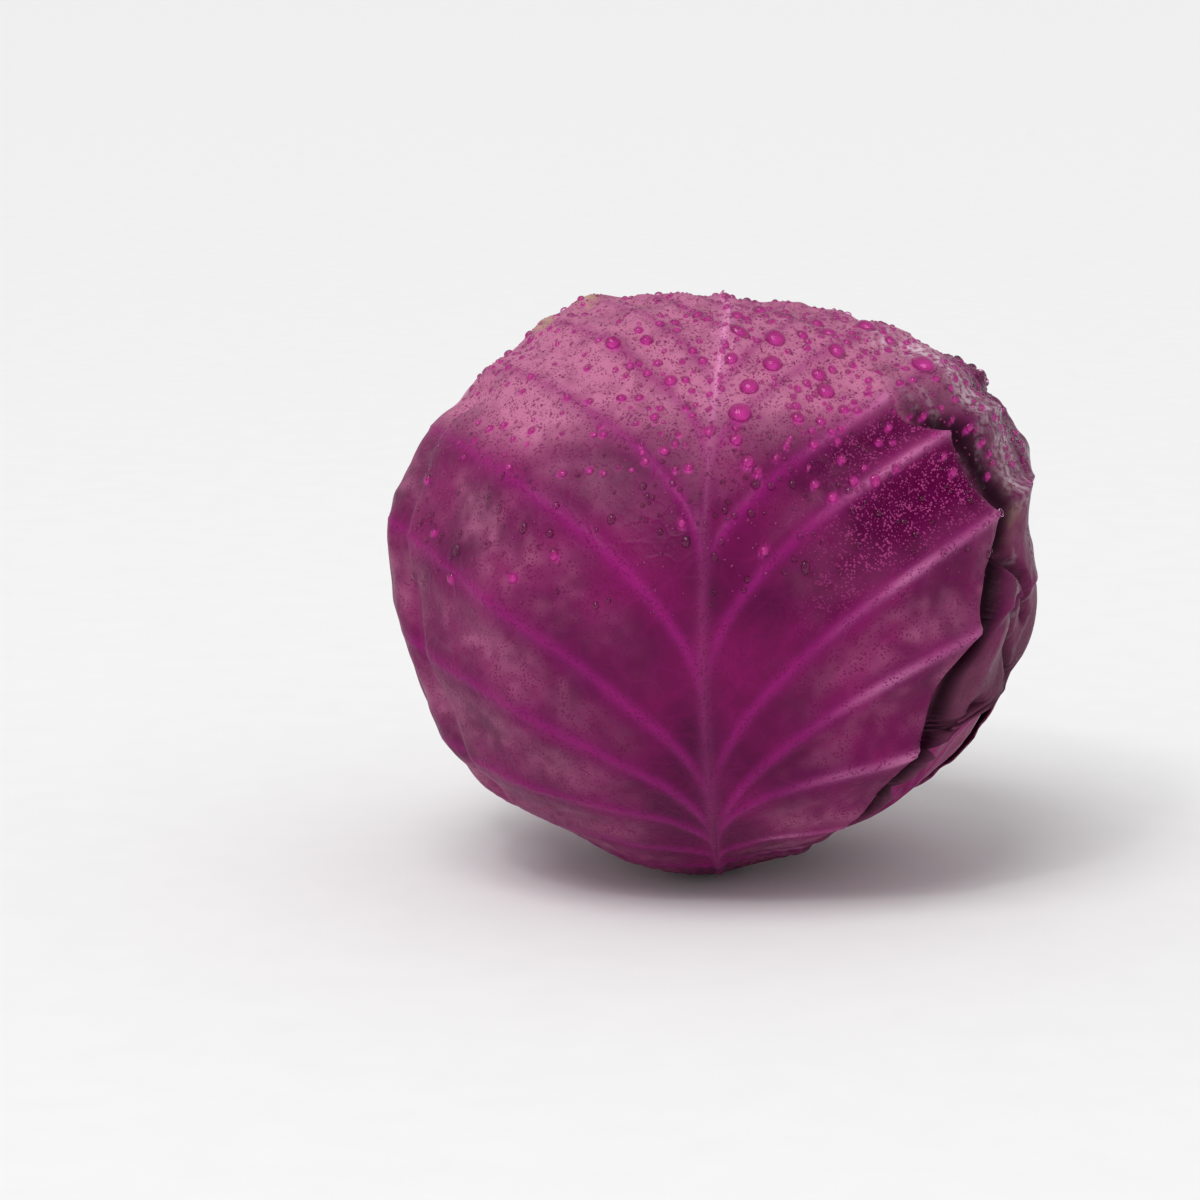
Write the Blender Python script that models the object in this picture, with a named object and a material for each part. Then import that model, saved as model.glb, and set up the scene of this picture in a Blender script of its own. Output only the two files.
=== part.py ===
"""A whole red cabbage, standing on its cut stem: a dense heart, the stem, and the wrapper leaves round it.

Every wrapper leaf is drawn flat, in degrees of arc about its own middle, and then wrapped on the globe of the
head. The leaves lie on each other in order, so each one rides up over the edges of those beneath it.
Metres, +Z up. The origin is the middle of the cut stem, and the leaf that faces -Y is the outermost one.
"""

import math

import bmesh
import bpy
import numpy as np

MM = 0.001

# The globe of packed leaves under the wrapper leaves
HEART_HALF_WIDTH = 74.5 * MM
HEART_TOP = 58.5 * MM
HEART_BOTTOM = 61.0 * MM
HEART_MIDDLE_HEIGHT = 72.0 * MM
HEART_SHRINK = 0.9 * MM
SHOULDER_TOP = 2.3
SHOULDER_BOTTOM = 2.25

# The cut stem, and the flat that it and the leaf bases stand on
STEM_RADIUS = 13.2 * MM
STEM_HEIGHT = 7.5 * MM
STEM_TAPER = 1.5 * MM
STEM_SIDES = 24
STEM_EDGE = 0.8 * MM
LOWEST_LEAF = 0.6 * MM
FLAT_SOFTNESS = 2.2 * MM

# One leaf's thickness and its room in the stack
BLADE = 0.8 * MM
LEAF_GAP = 1.4 * MM
EDGE_REACH = 4.0
EDGE_FADE = 17.0
RELIEF_FADE = 9.0
MIDRIB_BASE = 3.6 * MM
MIDRIB_TIP = 1.0 * MM
MIDRIB_HALF_BASE = 9.0
MIDRIB_HALF_TIP = 2.6
LATERAL_RIDGE = 0.5 * MM

# The wrapper leaves from the outermost inwards: which way each faces, its size, its roll on the globe, and
# how many degrees its base reaches on towards the stem
LEAF_ORDER = (
    ("front", -90.0, 1.0, 0.0, 3.6),
    ("right_back", 62.0, 0.97, -7.0, 1.0),
    ("left", 178.0, 0.95, 6.0, 0.7),
    ("right_front", -38.0, 0.95, 5.0, 0.7),
    ("back", 105.0, 0.94, -5.0, 0.0),
    ("left_front", -125.0, 0.93, 4.0, 0.2),
)
LEAF_MIDDLE = 95.0
FRONT_LIFT = 1.0
INNER_LIFT = 0.5

# The side veins of one half leaf, from its base to its tip, in degrees of arc on the globe. Each vein starts
# on the midrib at the first height and ends on the leaf's edge at the next two numbers, across and up. The
# last number says how soon it bends away from the midrib.
SIDE_VEINS = (
    (-79.0, 12.0, -82.0, 1.0),
    (-76.0, 26.0, -77.0, 1.0),
    (-71.0, 38.0, -68.0, 0.9),
    (-63.0, 50.0, -57.0, 0.6),
    (-59.0, 59.0, -44.0, 0.45),
    (-55.0, 68.0, -29.0, 0.38),
    (-50.0, 79.0, -5.0, 0.5),
    (-35.0, 85.0, 22.0, 0.72),
    (-15.0, 80.0, 45.0, 0.7),
    (7.0, 69.0, 62.0, 0.68),
    (26.0, 56.0, 77.0, 0.75),
    (43.0, 43.0, 88.0, 0.85),
    (59.0, 30.0, 96.0, 0.9),
    (75.0, 20.0, 101.0, 0.95),
    (90.0, 11.0, 104.0, 1.0),
    (104.5, 4.0, 105.5, 1.0),
)
FIRST_SIDE_VEIN = 3
LAST_SIDE_VEIN = 13
# Where the side veins of the outermost leaf's right half differ: edge across, edge up and bend
RIGHT_VEINS = {
    1: (17.0, -78.0, 1.0),
    2: (21.0, -70.0, 0.9),
    3: (24.0, -59.5, 0.6),
    4: (31.0, -43.5, 0.42),
    5: (60.0, -21.0, 0.34),
    6: (83.0, 9.5, 0.54),
    7: (85.0, 33.0, 0.66),
    8: (80.0, 49.5, 0.6),
    9: (69.0, 62.0, 0.78),
}
VEIN_SWEEP = 1.25
# The midrib sways to one side and back: how far, at what height, and how gently, in degrees
SWAYS = ((-2.8, -2.0, 45.0), (2.4, 72.0, 18.0))

# The mesh columns of a half leaf, as shares of the way to the pleat and then to the edge
COLUMNS_TO_PLEAT = (0.0, 0.07, 0.20, 0.34, 0.48, 0.62, 0.76, 0.88)
COLUMNS_PAST_PLEAT = (0.0, 0.25, 0.6, 1.0)
# The pleat's place on each side vein of the outermost leaf's right half, as a share of the way across,
# and how deep it is there
PLEAT_PLACES = (0.8, 0.82, 0.86, 0.88, 0.86, 0.67, 0.65, 0.7, 0.62, 0.58, 0.68, 0.78, 0.8, 0.8, 0.8, 0.8)
PLEAT_DEPTHS = (0.0, 0.0, 0.0, 0.3, 0.8, 1.0, 1.0, 1.0, 1.0, 0.35, 0.0, 0.0, 0.0, 0.0, 0.0, 0.0)
OTHER_PLEAT = 0.82
OTHER_PLEAT_DEPTH = 0.35
PLEAT_HALF = 0.09
TENT_HEIGHT = 2.6 * MM
PLEAT_HEIGHT = 3.0 * MM
EDGE_HUG = 0.8
EDGE_WAVE = 1.4 * MM
EDGE_TURN = 1.9
# The crests that the outermost leaf's right half makes, and a dip: side vein, half length in veins, the share
# of the way across where it starts, and height
CRESTS = (
    (8.95, 1.05, 0.5, 6.0 * MM),
    (7.3, 0.42, 0.75, 3.4 * MM),
    (6.3, 0.8, 0.7, -2.2 * MM),
    (5.2, 0.65, 0.66, 3.6 * MM),
    (10.9, 1.1, 0.35, -3.2 * MM),
)

LEAF_COLOUR = (0.20, 0.02, 0.13, 1.0)
HEART_COLOUR = (0.26, 0.03, 0.17, 1.0)
STEM_COLOUR = (0.74, 0.66, 0.48, 1.0)


def smooth_step(value):
    """0 below 0, 1 above 1, and a smooth rise between."""
    t = np.clip(value, 0.0, 1.0)
    return t * t * (3.0 - 2.0 * t)


def through_points(table, where):
    """The smooth curve through a table's rows, read at positions counted in rows."""
    rows = np.asarray(table, float)
    last = len(rows) - 1
    where = np.clip(where, 0.0, last)
    low = np.minimum(where.astype(int), last - 1)
    t = (where - low)[..., None]
    before = rows[np.maximum(low - 1, 0)]
    start = rows[low]
    end = rows[low + 1]
    after = rows[np.minimum(low + 2, last)]
    return start + 0.5 * t * (
        end - before
        + t * (2 * before - 5 * start + 4 * end - after + t * (3 * (start - end) + after - before))
    )


def half_leaf_table(foot, other_veins):
    """The side veins of one half leaf, with its own foot, and its own veins where they differ."""
    rows = [list(row) for row in SIDE_VEINS]
    rows[0][0] -= foot
    rows[0][2] -= foot
    for index, vein in other_veins.items():
        rows[index][1:] = vein
    return rows


def sway(y):
    """Degrees that the midrib stands off the leaf's middle line at a height."""
    return sum(far * np.exp(-(((y - height) / span) ** 2)) for far, height, span in SWAYS)


class Leaf:
    """One wrapper leaf: which way it faces, how large it is, and its outline."""

    def __init__(self, order):
        name, facing, size, roll, foot = LEAF_ORDER[order]
        self.order = order
        self.name = f"wrapper_leaf_{name}"
        self.size = size
        self.lift = FRONT_LIFT if order == 0 else INNER_LIFT
        self.tables = (half_leaf_table(foot, {}), half_leaf_table(foot, {} if order else RIGHT_VEINS))
        facing = math.radians(facing)
        roll = math.radians(roll)
        middle = math.radians(LEAF_MIDDLE)
        outward = np.array([math.cos(facing), math.sin(facing), 0.0])
        sideways = np.array([-math.sin(facing), math.cos(facing), 0.0])
        upward = np.array([0.0, 0.0, 1.0])
        self.centre = outward * math.sin(middle) - upward * math.cos(middle)
        along = outward * math.cos(middle) + upward * math.sin(middle)
        self.across = sideways * math.cos(roll) + along * math.sin(roll)
        self.along = along * math.cos(roll) - sideways * math.sin(roll)
        self.turns, self.reach = self.outline()

    def flat(self, across, row):
        """Flat place, in degrees of arc, of a point that far across the half leaf on that side vein."""
        share = np.abs(across)
        left = through_points(self.tables[0], row)
        right = through_points(self.tables[1], row)
        vein = np.where((across > 0)[..., None], right, left)
        x = np.sign(across) * vein[..., 1] * share**VEIN_SWEEP
        y = vein[..., 0] + (vein[..., 2] - vein[..., 0]) * share ** vein[..., 3]
        return x * self.size + sway(y) * (1.0 - share) ** 2, y

    def outline(self):
        """Directions round the leaf's middle, and how far its edge is in each."""
        rows = np.linspace(0, len(SIDE_VEINS) - 1, 160)
        right = self.flat(np.ones_like(rows), rows)
        left = self.flat(-np.ones_like(rows), rows)
        x = np.concatenate([right[0], left[0][::-1]])
        y = np.concatenate([right[1], left[1][::-1]])
        turn = np.arctan2(x, y)
        order = np.argsort(turn)
        return turn[order], np.hypot(x, y)[order]

    def directions(self, x, y):
        """Unit vectors from the head's middle for flat places."""
        arc = np.hypot(x, y)
        safe = np.maximum(arc, 1e-9)
        tangent = x[..., None] / safe[..., None] * self.across + y[..., None] / safe[..., None] * self.along
        angle = np.radians(arc)[..., None]
        return np.cos(angle) * self.centre + np.sin(angle) * tangent

    def flat_of(self, way):
        """Flat places of unit vectors."""
        arc = np.degrees(np.arccos(np.clip(way @ self.centre, -1.0, 1.0)))
        x = way @ self.across
        y = way @ self.along
        length = np.maximum(np.hypot(x, y), 1e-9)
        return arc * x / length, arc * y / length

    def outside(self, way):
        """Degrees of arc from the leaf's edge, negative inside it."""
        x, y = self.flat_of(way)
        edge = np.interp(np.arctan2(x, y), self.turns, self.reach, period=2 * math.pi)
        return np.hypot(x, y) - edge

    def cover(self, way):
        """1 over the leaf and just past its edge, 0 well clear of it."""
        return 1.0 - smooth_step((self.outside(way) - EDGE_REACH) / EDGE_FADE)

    def midrib(self, x, y, spread=1.0):
        """Height of the midrib on the leaf's outer face."""
        along = np.clip((y + 85.0) / 175.0, 0.0, 1.0)
        half = (MIDRIB_HALF_TIP + (MIDRIB_HALF_BASE - MIDRIB_HALF_TIP) * (1.0 - along) ** 2.5) * spread
        height = MIDRIB_TIP + (MIDRIB_BASE - MIDRIB_TIP) * (1.0 - along) ** 2.5
        return height * (1.0 - smooth_step(np.abs(x - sway(y)) / (2.0 * half)))


LEAVES = [Leaf(order) for order in range(len(LEAF_ORDER))]


def heart_radius(way):
    """The heart's radius in a direction: a globe with broad shoulders."""
    flat = np.hypot(way[..., 0], way[..., 1])
    rise = smooth_step(way[..., 2] * 2.0 + 0.5)
    power = SHOULDER_BOTTOM + (SHOULDER_TOP - SHOULDER_BOTTOM) * rise
    height = np.where(way[..., 2] > 0, HEART_TOP, HEART_BOTTOM)
    return ((flat / HEART_HALF_WIDTH) ** power + (np.abs(way[..., 2]) / height) ** power) ** (-1.0 / power)


def stack_under(order, way):
    """Height on the heart of everything that lies under the leaf of that order."""
    total = np.zeros(way.shape[:-1])
    for leaf in LEAVES[order + 1 :]:
        x, y = leaf.flat_of(way)
        room = BLADE + LEAF_GAP + LATERAL_RIDGE + leaf.midrib(x, y, 1.6)
        total += leaf.cover(way) * room
    return total


def exposure(order, way):
    """1 where no leaf lies over the leaf of that order, 0 under or near one."""
    open_air = np.ones(way.shape[:-1])
    for leaf in LEAVES[:order]:
        open_air *= smooth_step((leaf.outside(way) - EDGE_REACH) / RELIEF_FADE)
    return open_air


def placed(way, height):
    """Points at a height over the heart, with the head's flattened underside."""
    point = way * (heart_radius(way) + height)[..., None]
    z = point[..., 2] + HEART_MIDDLE_HEIGHT
    point[..., 2] = LOWEST_LEAF + FLAT_SOFTNESS * np.logaddexp(0.0, (z - LOWEST_LEAF) / FLAT_SOFTNESS)
    return point


def pleat_at(leaf, right, row):
    """The pleat's place on a side vein, as a share of the way across, and how deep it is there."""
    place = np.full(row.shape, OTHER_PLEAT)
    depth = np.full(row.shape, OTHER_PLEAT_DEPTH)
    if leaf.order == 0:
        own_place = through_points(np.array(PLEAT_PLACES)[:, None], row)[..., 0]
        own_depth = through_points(np.array(PLEAT_DEPTHS)[:, None], row)[..., 0]
        place = np.where(right, own_place, place)
        depth = np.where(right, np.clip(own_depth, 0.0, 1.0), depth)
    return place, depth


def blade_lift(leaf, across, row):
    """How far a leaf stands off what is under it: tents on its side veins, a pleat, and a waved edge."""
    share = np.abs(across)
    place, depth = pleat_at(leaf, across > 0, row)
    off_vein = np.abs(row - np.round(row)) * 2.0
    veined = smooth_step((row - FIRST_SIDE_VEIN) / 2.0) * smooth_step((LAST_SIDE_VEIN - row) / 2.0)
    tents = TENT_HEIGHT * (1.0 - off_vein) * smooth_step(share / place) * (0.4 + 0.6 * depth)
    band = PLEAT_HEIGHT * smooth_step(share / place * 1.6 - 0.6)
    margin = 1.0 - EDGE_HUG * smooth_step((share - place) / (1.0 - place) * 1.4 - 0.4)
    valley = 1.0 - depth * (1.0 - smooth_step(np.abs(share - place) / PLEAT_HALF))
    wave = EDGE_WAVE * (0.5 + 0.5 * np.sin(row * EDGE_TURN + leaf.order))
    wave *= smooth_step((share - place) / (1.0 - place)) * veined
    lift = leaf.lift * (veined * (tents + band) * valley * margin + wave)
    if leaf.order == 0:
        for vein, half, start, height in CRESTS:
            crest = height * smooth_step((share - start) / 0.3) * np.exp(-(((row - vein) / half) ** 2))
            lift = np.maximum(lift + np.where(across > 0, crest, 0.0), 0.0)
    return lift


def leaf_surfaces(leaf, shares, rows):
    """The inner and the outer face of a leaf at those places."""
    x, y = leaf.flat(shares, rows)
    way = leaf.directions(x, y)
    inner = stack_under(leaf.order, way) + LEAF_GAP / 2.0
    inner += blade_lift(leaf, shares, rows) * exposure(leaf.order, way)
    ridge = LATERAL_RIDGE * (1.0 - 2.0 * np.abs(rows - np.round(rows))) * smooth_step(np.abs(shares) / 0.2)
    outer = inner + BLADE + ridge + leaf.midrib(x, y)
    return placed(way, inner), placed(way, outer)


def add_object(name, bm, colour, roughness):
    """Makes the mesh an object with its own material."""
    bmesh.ops.recalc_face_normals(bm, faces=bm.faces)
    mesh = bpy.data.meshes.new(name)
    bm.to_mesh(mesh)
    bm.free()
    mesh.shade_smooth()
    material = bpy.data.materials.new(f"{name}_finish")
    material.use_nodes = True
    shader = material.node_tree.nodes["Principled BSDF"]
    shader.inputs["Base Color"].default_value = colour
    shader.inputs["Roughness"].default_value = roughness
    mesh.materials.append(material)
    made = bpy.data.objects.new(name, mesh)
    bpy.context.scene.collection.objects.link(made)
    return made


def join_lines(bm, first, second):
    """A strip of triangles between two lines of vertices, each square cut the same way."""
    for i in range(len(first) - 1):
        bm.faces.new((first[i], first[i + 1], second[i + 1]))
        bm.faces.new((first[i], second[i + 1], second[i]))


def leaf_grid(leaf):
    """Where a leaf's vertices stand: columns that follow the pleat, rows on and between its side veins."""
    upper_rows = np.arange(FIRST_SIDE_VEIN, len(SIDE_VEINS) - 0.5, 0.5)
    rows = np.concatenate([np.arange(FIRST_SIDE_VEIN), upper_rows])
    sides = []
    for right in (False, True):
        place = pleat_at(leaf, right, rows)[0][:, None]
        near = place * np.array(COLUMNS_TO_PLEAT)
        far = place + (1.0 - place) * np.array(COLUMNS_PAST_PLEAT)
        sides.append(np.concatenate([near, far], axis=1))
    shares = np.concatenate([-sides[0][:, :0:-1], sides[1]], axis=1)
    return shares, np.broadcast_to(rows[:, None], shares.shape)


def add_leaf(leaf):
    """A closed leaf: its outer face, its inner face, and the rim between them."""
    shares, rows = leaf_grid(leaf)
    inner_points, outer_points = leaf_surfaces(leaf, shares, rows)
    bm = bmesh.new()
    inner = [[bm.verts.new(point) for point in line] for line in inner_points]
    outer = [[bm.verts.new(point) for point in line] for line in outer_points]
    middle = shares.shape[1] // 2
    for sheet in (inner, outer):
        for low, high in zip(sheet, sheet[1:]):
            # Both halves are cut along the short diagonal of their slanting squares
            join_lines(bm, low[: middle + 1], high[: middle + 1])
            join_lines(bm, low[: middle - 1 : -1], high[: middle - 1 : -1])
    join_lines(bm, inner[0], outer[0])
    join_lines(bm, inner[-1], outer[-1])
    join_lines(bm, [line[0] for line in inner], [line[0] for line in outer])
    join_lines(bm, [line[-1] for line in inner], [line[-1] for line in outer])
    return add_object(leaf.name, bm, LEAF_COLOUR, 0.42)


def add_heart():
    """The dense ball of inner leaves, flat underneath where the stem enters it."""
    bm = bmesh.new()
    bmesh.ops.create_icosphere(bm, subdivisions=4, radius=1.0)
    way = np.array([v.co for v in bm.verts])
    way /= np.linalg.norm(way, axis=1)[:, None]
    points = placed(way, np.full(len(way), -HEART_SHRINK))
    points[:, 2] = np.maximum(points[:, 2], STEM_HEIGHT + 0.4 * MM)
    for vert, point in zip(bm.verts, points):
        vert.co = point
    return add_object("heart", bm, HEART_COLOUR, 0.45)


def add_stem():
    """The stump of the stem, cut flat, with a slightly worn edge."""
    bm = bmesh.new()
    bmesh.ops.create_cone(
        bm,
        cap_ends=True,
        segments=STEM_SIDES,
        radius1=STEM_RADIUS,
        radius2=STEM_RADIUS - STEM_TAPER,
        depth=STEM_HEIGHT,
    )
    bmesh.ops.translate(bm, verts=bm.verts, vec=(0.0, 0.0, STEM_HEIGHT / 2.0))
    low_edges = [e for e in bm.edges if all(v.co.z < 0.1 * MM for v in e.verts)]
    bmesh.ops.bevel(bm, geom=low_edges, offset=STEM_EDGE, segments=2, affect="EDGES")
    return add_object("stem", bm, STEM_COLOUR, 0.6)


def main():
    for old in list(bpy.data.objects):
        bpy.data.objects.remove(old)
    add_stem()
    add_heart()
    for leaf in LEAVES:
        add_leaf(leaf)


main()
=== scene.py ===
# %% [markdown]
# # A head of red cabbage
#
# A red cabbage is a ball of tightly packed leaves on a short, thick stem. The outermost leaves are large,
# waxy and deeply veined, and each one overlaps the next. They could be sculpted by hand, but this lesson
# computes them, so that every fold has a cause and can be changed. It dresses a plain model of such a head:
# it makes each leaf again as a fine mesh with its veins, folds and torn edges, gives it a skin, and wets it
# with dew.

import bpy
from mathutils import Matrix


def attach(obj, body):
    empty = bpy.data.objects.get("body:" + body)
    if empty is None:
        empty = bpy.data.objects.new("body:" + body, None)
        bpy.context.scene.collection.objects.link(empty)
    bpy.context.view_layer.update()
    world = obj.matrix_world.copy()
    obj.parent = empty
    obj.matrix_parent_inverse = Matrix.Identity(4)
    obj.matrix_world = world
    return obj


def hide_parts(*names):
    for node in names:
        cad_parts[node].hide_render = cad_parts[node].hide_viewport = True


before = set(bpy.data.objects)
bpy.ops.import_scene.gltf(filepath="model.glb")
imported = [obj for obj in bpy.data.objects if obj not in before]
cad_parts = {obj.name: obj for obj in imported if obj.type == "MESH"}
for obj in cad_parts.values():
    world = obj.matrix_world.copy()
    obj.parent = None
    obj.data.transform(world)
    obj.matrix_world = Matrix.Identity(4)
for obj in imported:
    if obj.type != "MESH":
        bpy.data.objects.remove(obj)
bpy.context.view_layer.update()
print("the plain model has", sorted(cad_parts))

# %% Libraries and units
import itertools
import math

import bpy
import numpy as np

MM = 0.001
MM_PER_DEGREE = 1.36  # a degree of arc on the head, in millimetres of leaf
print("a leaf 180 degrees long is", round(180 * MM_PER_DEGREE), "mm long")

# %% [markdown]
# ## The shape of the ball
#
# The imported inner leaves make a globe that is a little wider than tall, with a flat foot. A sculpted ball
# would do, but every leaf has to follow it closely, so it is a formula: a radius for each direction from
# its middle.

# %% The globe
HALF_WIDTH = 74.5 * MM
HEIGHT_ABOVE = 58.5 * MM
HEIGHT_BELOW = 61.0 * MM
MIDDLE_HEIGHT = 72.0 * MM
ROUNDNESS_ABOVE = 2.3
ROUNDNESS_BELOW = 2.25
FLOOR_SOFTNESS = 2.2 * MM
LOWEST_LEAF = 0.6 * MM


def ease(value):
    """0 below 0, 1 above 1, and a smooth rise between."""
    t = np.clip(value, 0.0, 1.0)
    return t * t * (3.0 - 2.0 * t)


def hump(value, middle, half, power=2):
    """1 in the middle, and a smooth fall to 0 on both sides."""
    return np.exp(-(((value - middle) / half) ** power))


def globe_radius(way):
    """The ball's radius in a direction."""
    level = np.hypot(way[..., 0], way[..., 1])
    rise = ease(way[..., 2] * 2.0 + 0.5)
    power = ROUNDNESS_BELOW + (ROUNDNESS_ABOVE - ROUNDNESS_BELOW) * rise
    height = np.where(way[..., 2] > 0, HEIGHT_ABOVE, HEIGHT_BELOW)
    return ((level / HALF_WIDTH) ** power + (np.abs(way[..., 2]) / height) ** power) ** (-1.0 / power)


def placed(way, height):
    """Points at a height over the ball, pressed flat near the table."""
    point = way * (globe_radius(way) + height)[..., None]
    z = point[..., 2] + MIDDLE_HEIGHT
    point[..., 2] = LOWEST_LEAF + FLOOR_SOFTNESS * np.logaddexp(0.0, (z - LOWEST_LEAF) / FLOOR_SOFTNESS)
    return point


print("the ball is", round(2 * HALF_WIDTH / MM), "mm wide")

# %% [markdown]
# ## Uneven growth
#
# Nothing on a plant is even. Small random hills are added to shapes and edges everywhere. Blender has noise
# textures, but here the shape itself needs them, for a hundred thousand points at once, so a few lines of
# array code make them: random heights on a lattice, joined smoothly.

# %% Random hills
HILL_HEIGHTS = np.random.default_rng(20).random(65536)
LATTICE_STRIDES = (73856093, 19349663, 83492791)  # large primes spread the lattice over the heights
SEED_STRIDE = 7919


def hills(places, grain, seed):
    """Smooth random heights from 0 to 1, about one grain apart."""
    cell = np.asarray(places, float) / grain + 512.0
    low = np.floor(cell).astype(np.int64)
    t = ease(cell - low)
    total = np.zeros(low.shape[:-1])
    for corner in itertools.product((0, 1), repeat=low.shape[-1]):
        key = np.full(low.shape[:-1], seed * SEED_STRIDE, np.int64)
        weight = np.ones(low.shape[:-1])
        for axis, step in enumerate(corner):
            key = key ^ ((low[..., axis] + step) * LATTICE_STRIDES[axis])
            weight = weight * (t[..., axis] if step else 1.0 - t[..., axis])
        total += weight * HILL_HEIGHTS[key & (len(HILL_HEIGHTS) - 1)]
    return total


print("hills at three places", hills([[0.0, 0.0], [4.0, 1.0], [9.0, 5.0]], 2.0, 1).round(2))

# %% [markdown]
# ## How a cabbage leaf grows
#
# A leaf has a thick midrib. Side veins leave it almost along the rib and then sweep out to the edge. So a
# place on a leaf is best told by two numbers: which side vein it lies on, counted from the base, and how
# far across the half leaf it is. A plain grid pulled over the ball would be easier, but its lines would
# cross the veins. The table holds the veins in degrees of arc on the ball. Drawn flat and then wrapped
# round the ball, such a leaf fits it like skin.

# %% The side veins
# Each row: start on the midrib, edge across, edge up, and how late the vein bends away
SIDE_VEINS = (
    (-79.0, 12.0, -82.0, 1.0),
    (-76.0, 26.0, -77.0, 1.0),
    (-71.0, 38.0, -68.0, 0.9),
    (-63.0, 50.0, -57.0, 0.6),
    (-59.0, 59.0, -44.0, 0.45),
    (-55.0, 68.0, -29.0, 0.38),
    (-50.0, 79.0, -5.0, 0.5),
    (-35.0, 85.0, 22.0, 0.72),
    (-15.0, 80.0, 45.0, 0.7),
    (7.0, 69.0, 62.0, 0.68),
    (26.0, 56.0, 77.0, 0.75),
    (43.0, 43.0, 88.0, 0.85),
    (59.0, 30.0, 96.0, 0.9),
    (75.0, 20.0, 101.0, 0.95),
    (90.0, 11.0, 104.0, 1.0),
    (104.5, 4.0, 105.5, 1.0),
)
FIRST_SIDE_VEIN = 3
LAST_SIDE_VEIN = 13
# The outermost leaf's right half is torn low down, and its veins reach higher: edge across, edge up, bend
RIGHT_VEINS = {
    1: (17.0, -78.0, 1.0),
    2: (21.0, -70.0, 0.9),
    3: (24.0, -59.5, 0.6),
    4: (31.0, -43.5, 0.42),
    5: (60.0, -21.0, 0.34),
    6: (83.0, 9.5, 0.54),
    7: (85.0, 33.0, 0.66),
    8: (80.0, 49.5, 0.6),
    9: (69.0, 62.0, 0.78),
}
VEIN_SWEEP = 1.25
# The midrib sways to one side and back: how far, at what height, and how gently, in degrees
SWAYS = ((-2.8, -2.0, 45.0), (2.4, 72.0, 18.0))
print(len(SIDE_VEINS), "rows, of which", LAST_SIDE_VEIN - FIRST_SIDE_VEIN + 1, "are full side veins")

# %% Curves through the veins


def through_points(table, where):
    """The smooth curve through a table's rows, read at positions counted in rows."""
    rows = np.asarray(table, float)
    last = len(rows) - 1
    where = np.clip(where, 0.0, last)
    low = np.minimum(where.astype(int), last - 1)
    t = (where - low)[..., None]
    before, start = rows[np.maximum(low - 1, 0)], rows[low]
    end, after = rows[low + 1], rows[np.minimum(low + 2, last)]
    bend = 2 * before - 5 * start + 4 * end - after + t * (3 * (start - end) + after - before)
    return start + 0.5 * t * (end - before + t * bend)


def half_leaf(foot, other_veins):
    """The side veins of one half leaf, with its own foot, and its own veins where they differ."""
    rows = [list(row) for row in SIDE_VEINS]
    rows[0][0] -= foot
    rows[0][2] -= foot
    for index, vein in other_veins.items():
        rows[index][1:] = vein
    return rows


def sway(y):
    """Degrees that the midrib stands off the leaf's middle line at a height."""
    return sum(far * hump(y, height, span) for far, height, span in SWAYS)


print("half way between veins 6 and 7:", through_points(SIDE_VEINS, np.array(6.5)).round(1))

# %% [markdown]
# ## Six wrapper leaves
#
# Leaves leave the stem one after another, each turned well past the last, so the outermost ones leave no
# gap. Copies of one leaf would do for those behind, but each one has its own direction, size and tilt here,
# so no two overlap alike. The outermost is listed first. A class keeps what one leaf knows of itself in one
# place.

# %% The leaves and where they lie
# Name, direction it faces, size, tilt, and how far its foot reaches to the stem
LEAF_ORDER = (
    ("front", -90.0, 1.0, 0.0, 3.6),
    ("right_back", 62.0, 0.97, -7.0, 1.0),
    ("left", 178.0, 0.95, 6.0, 0.7),
    ("right_front", -38.0, 0.95, 5.0, 0.7),
    ("back", 105.0, 0.94, -5.0, 0.0),
    ("left_front", -125.0, 0.93, 4.0, 0.2),
)
LEAF_MIDDLE = 95.0
EDGE_REACH = 4.0
EDGE_FADE = 17.0
RELIEF_FADE = 9.0
MIDRIB_BASE = 3.6 * MM
MIDRIB_TIP = 1.0 * MM
MIDRIB_HALF_BASE = 9.0
MIDRIB_HALF_TIP = 2.6
print("the outermost leaf lies on", ", ".join(row[0] for row in LEAF_ORDER[1:]))

# %% What a leaf knows


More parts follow.
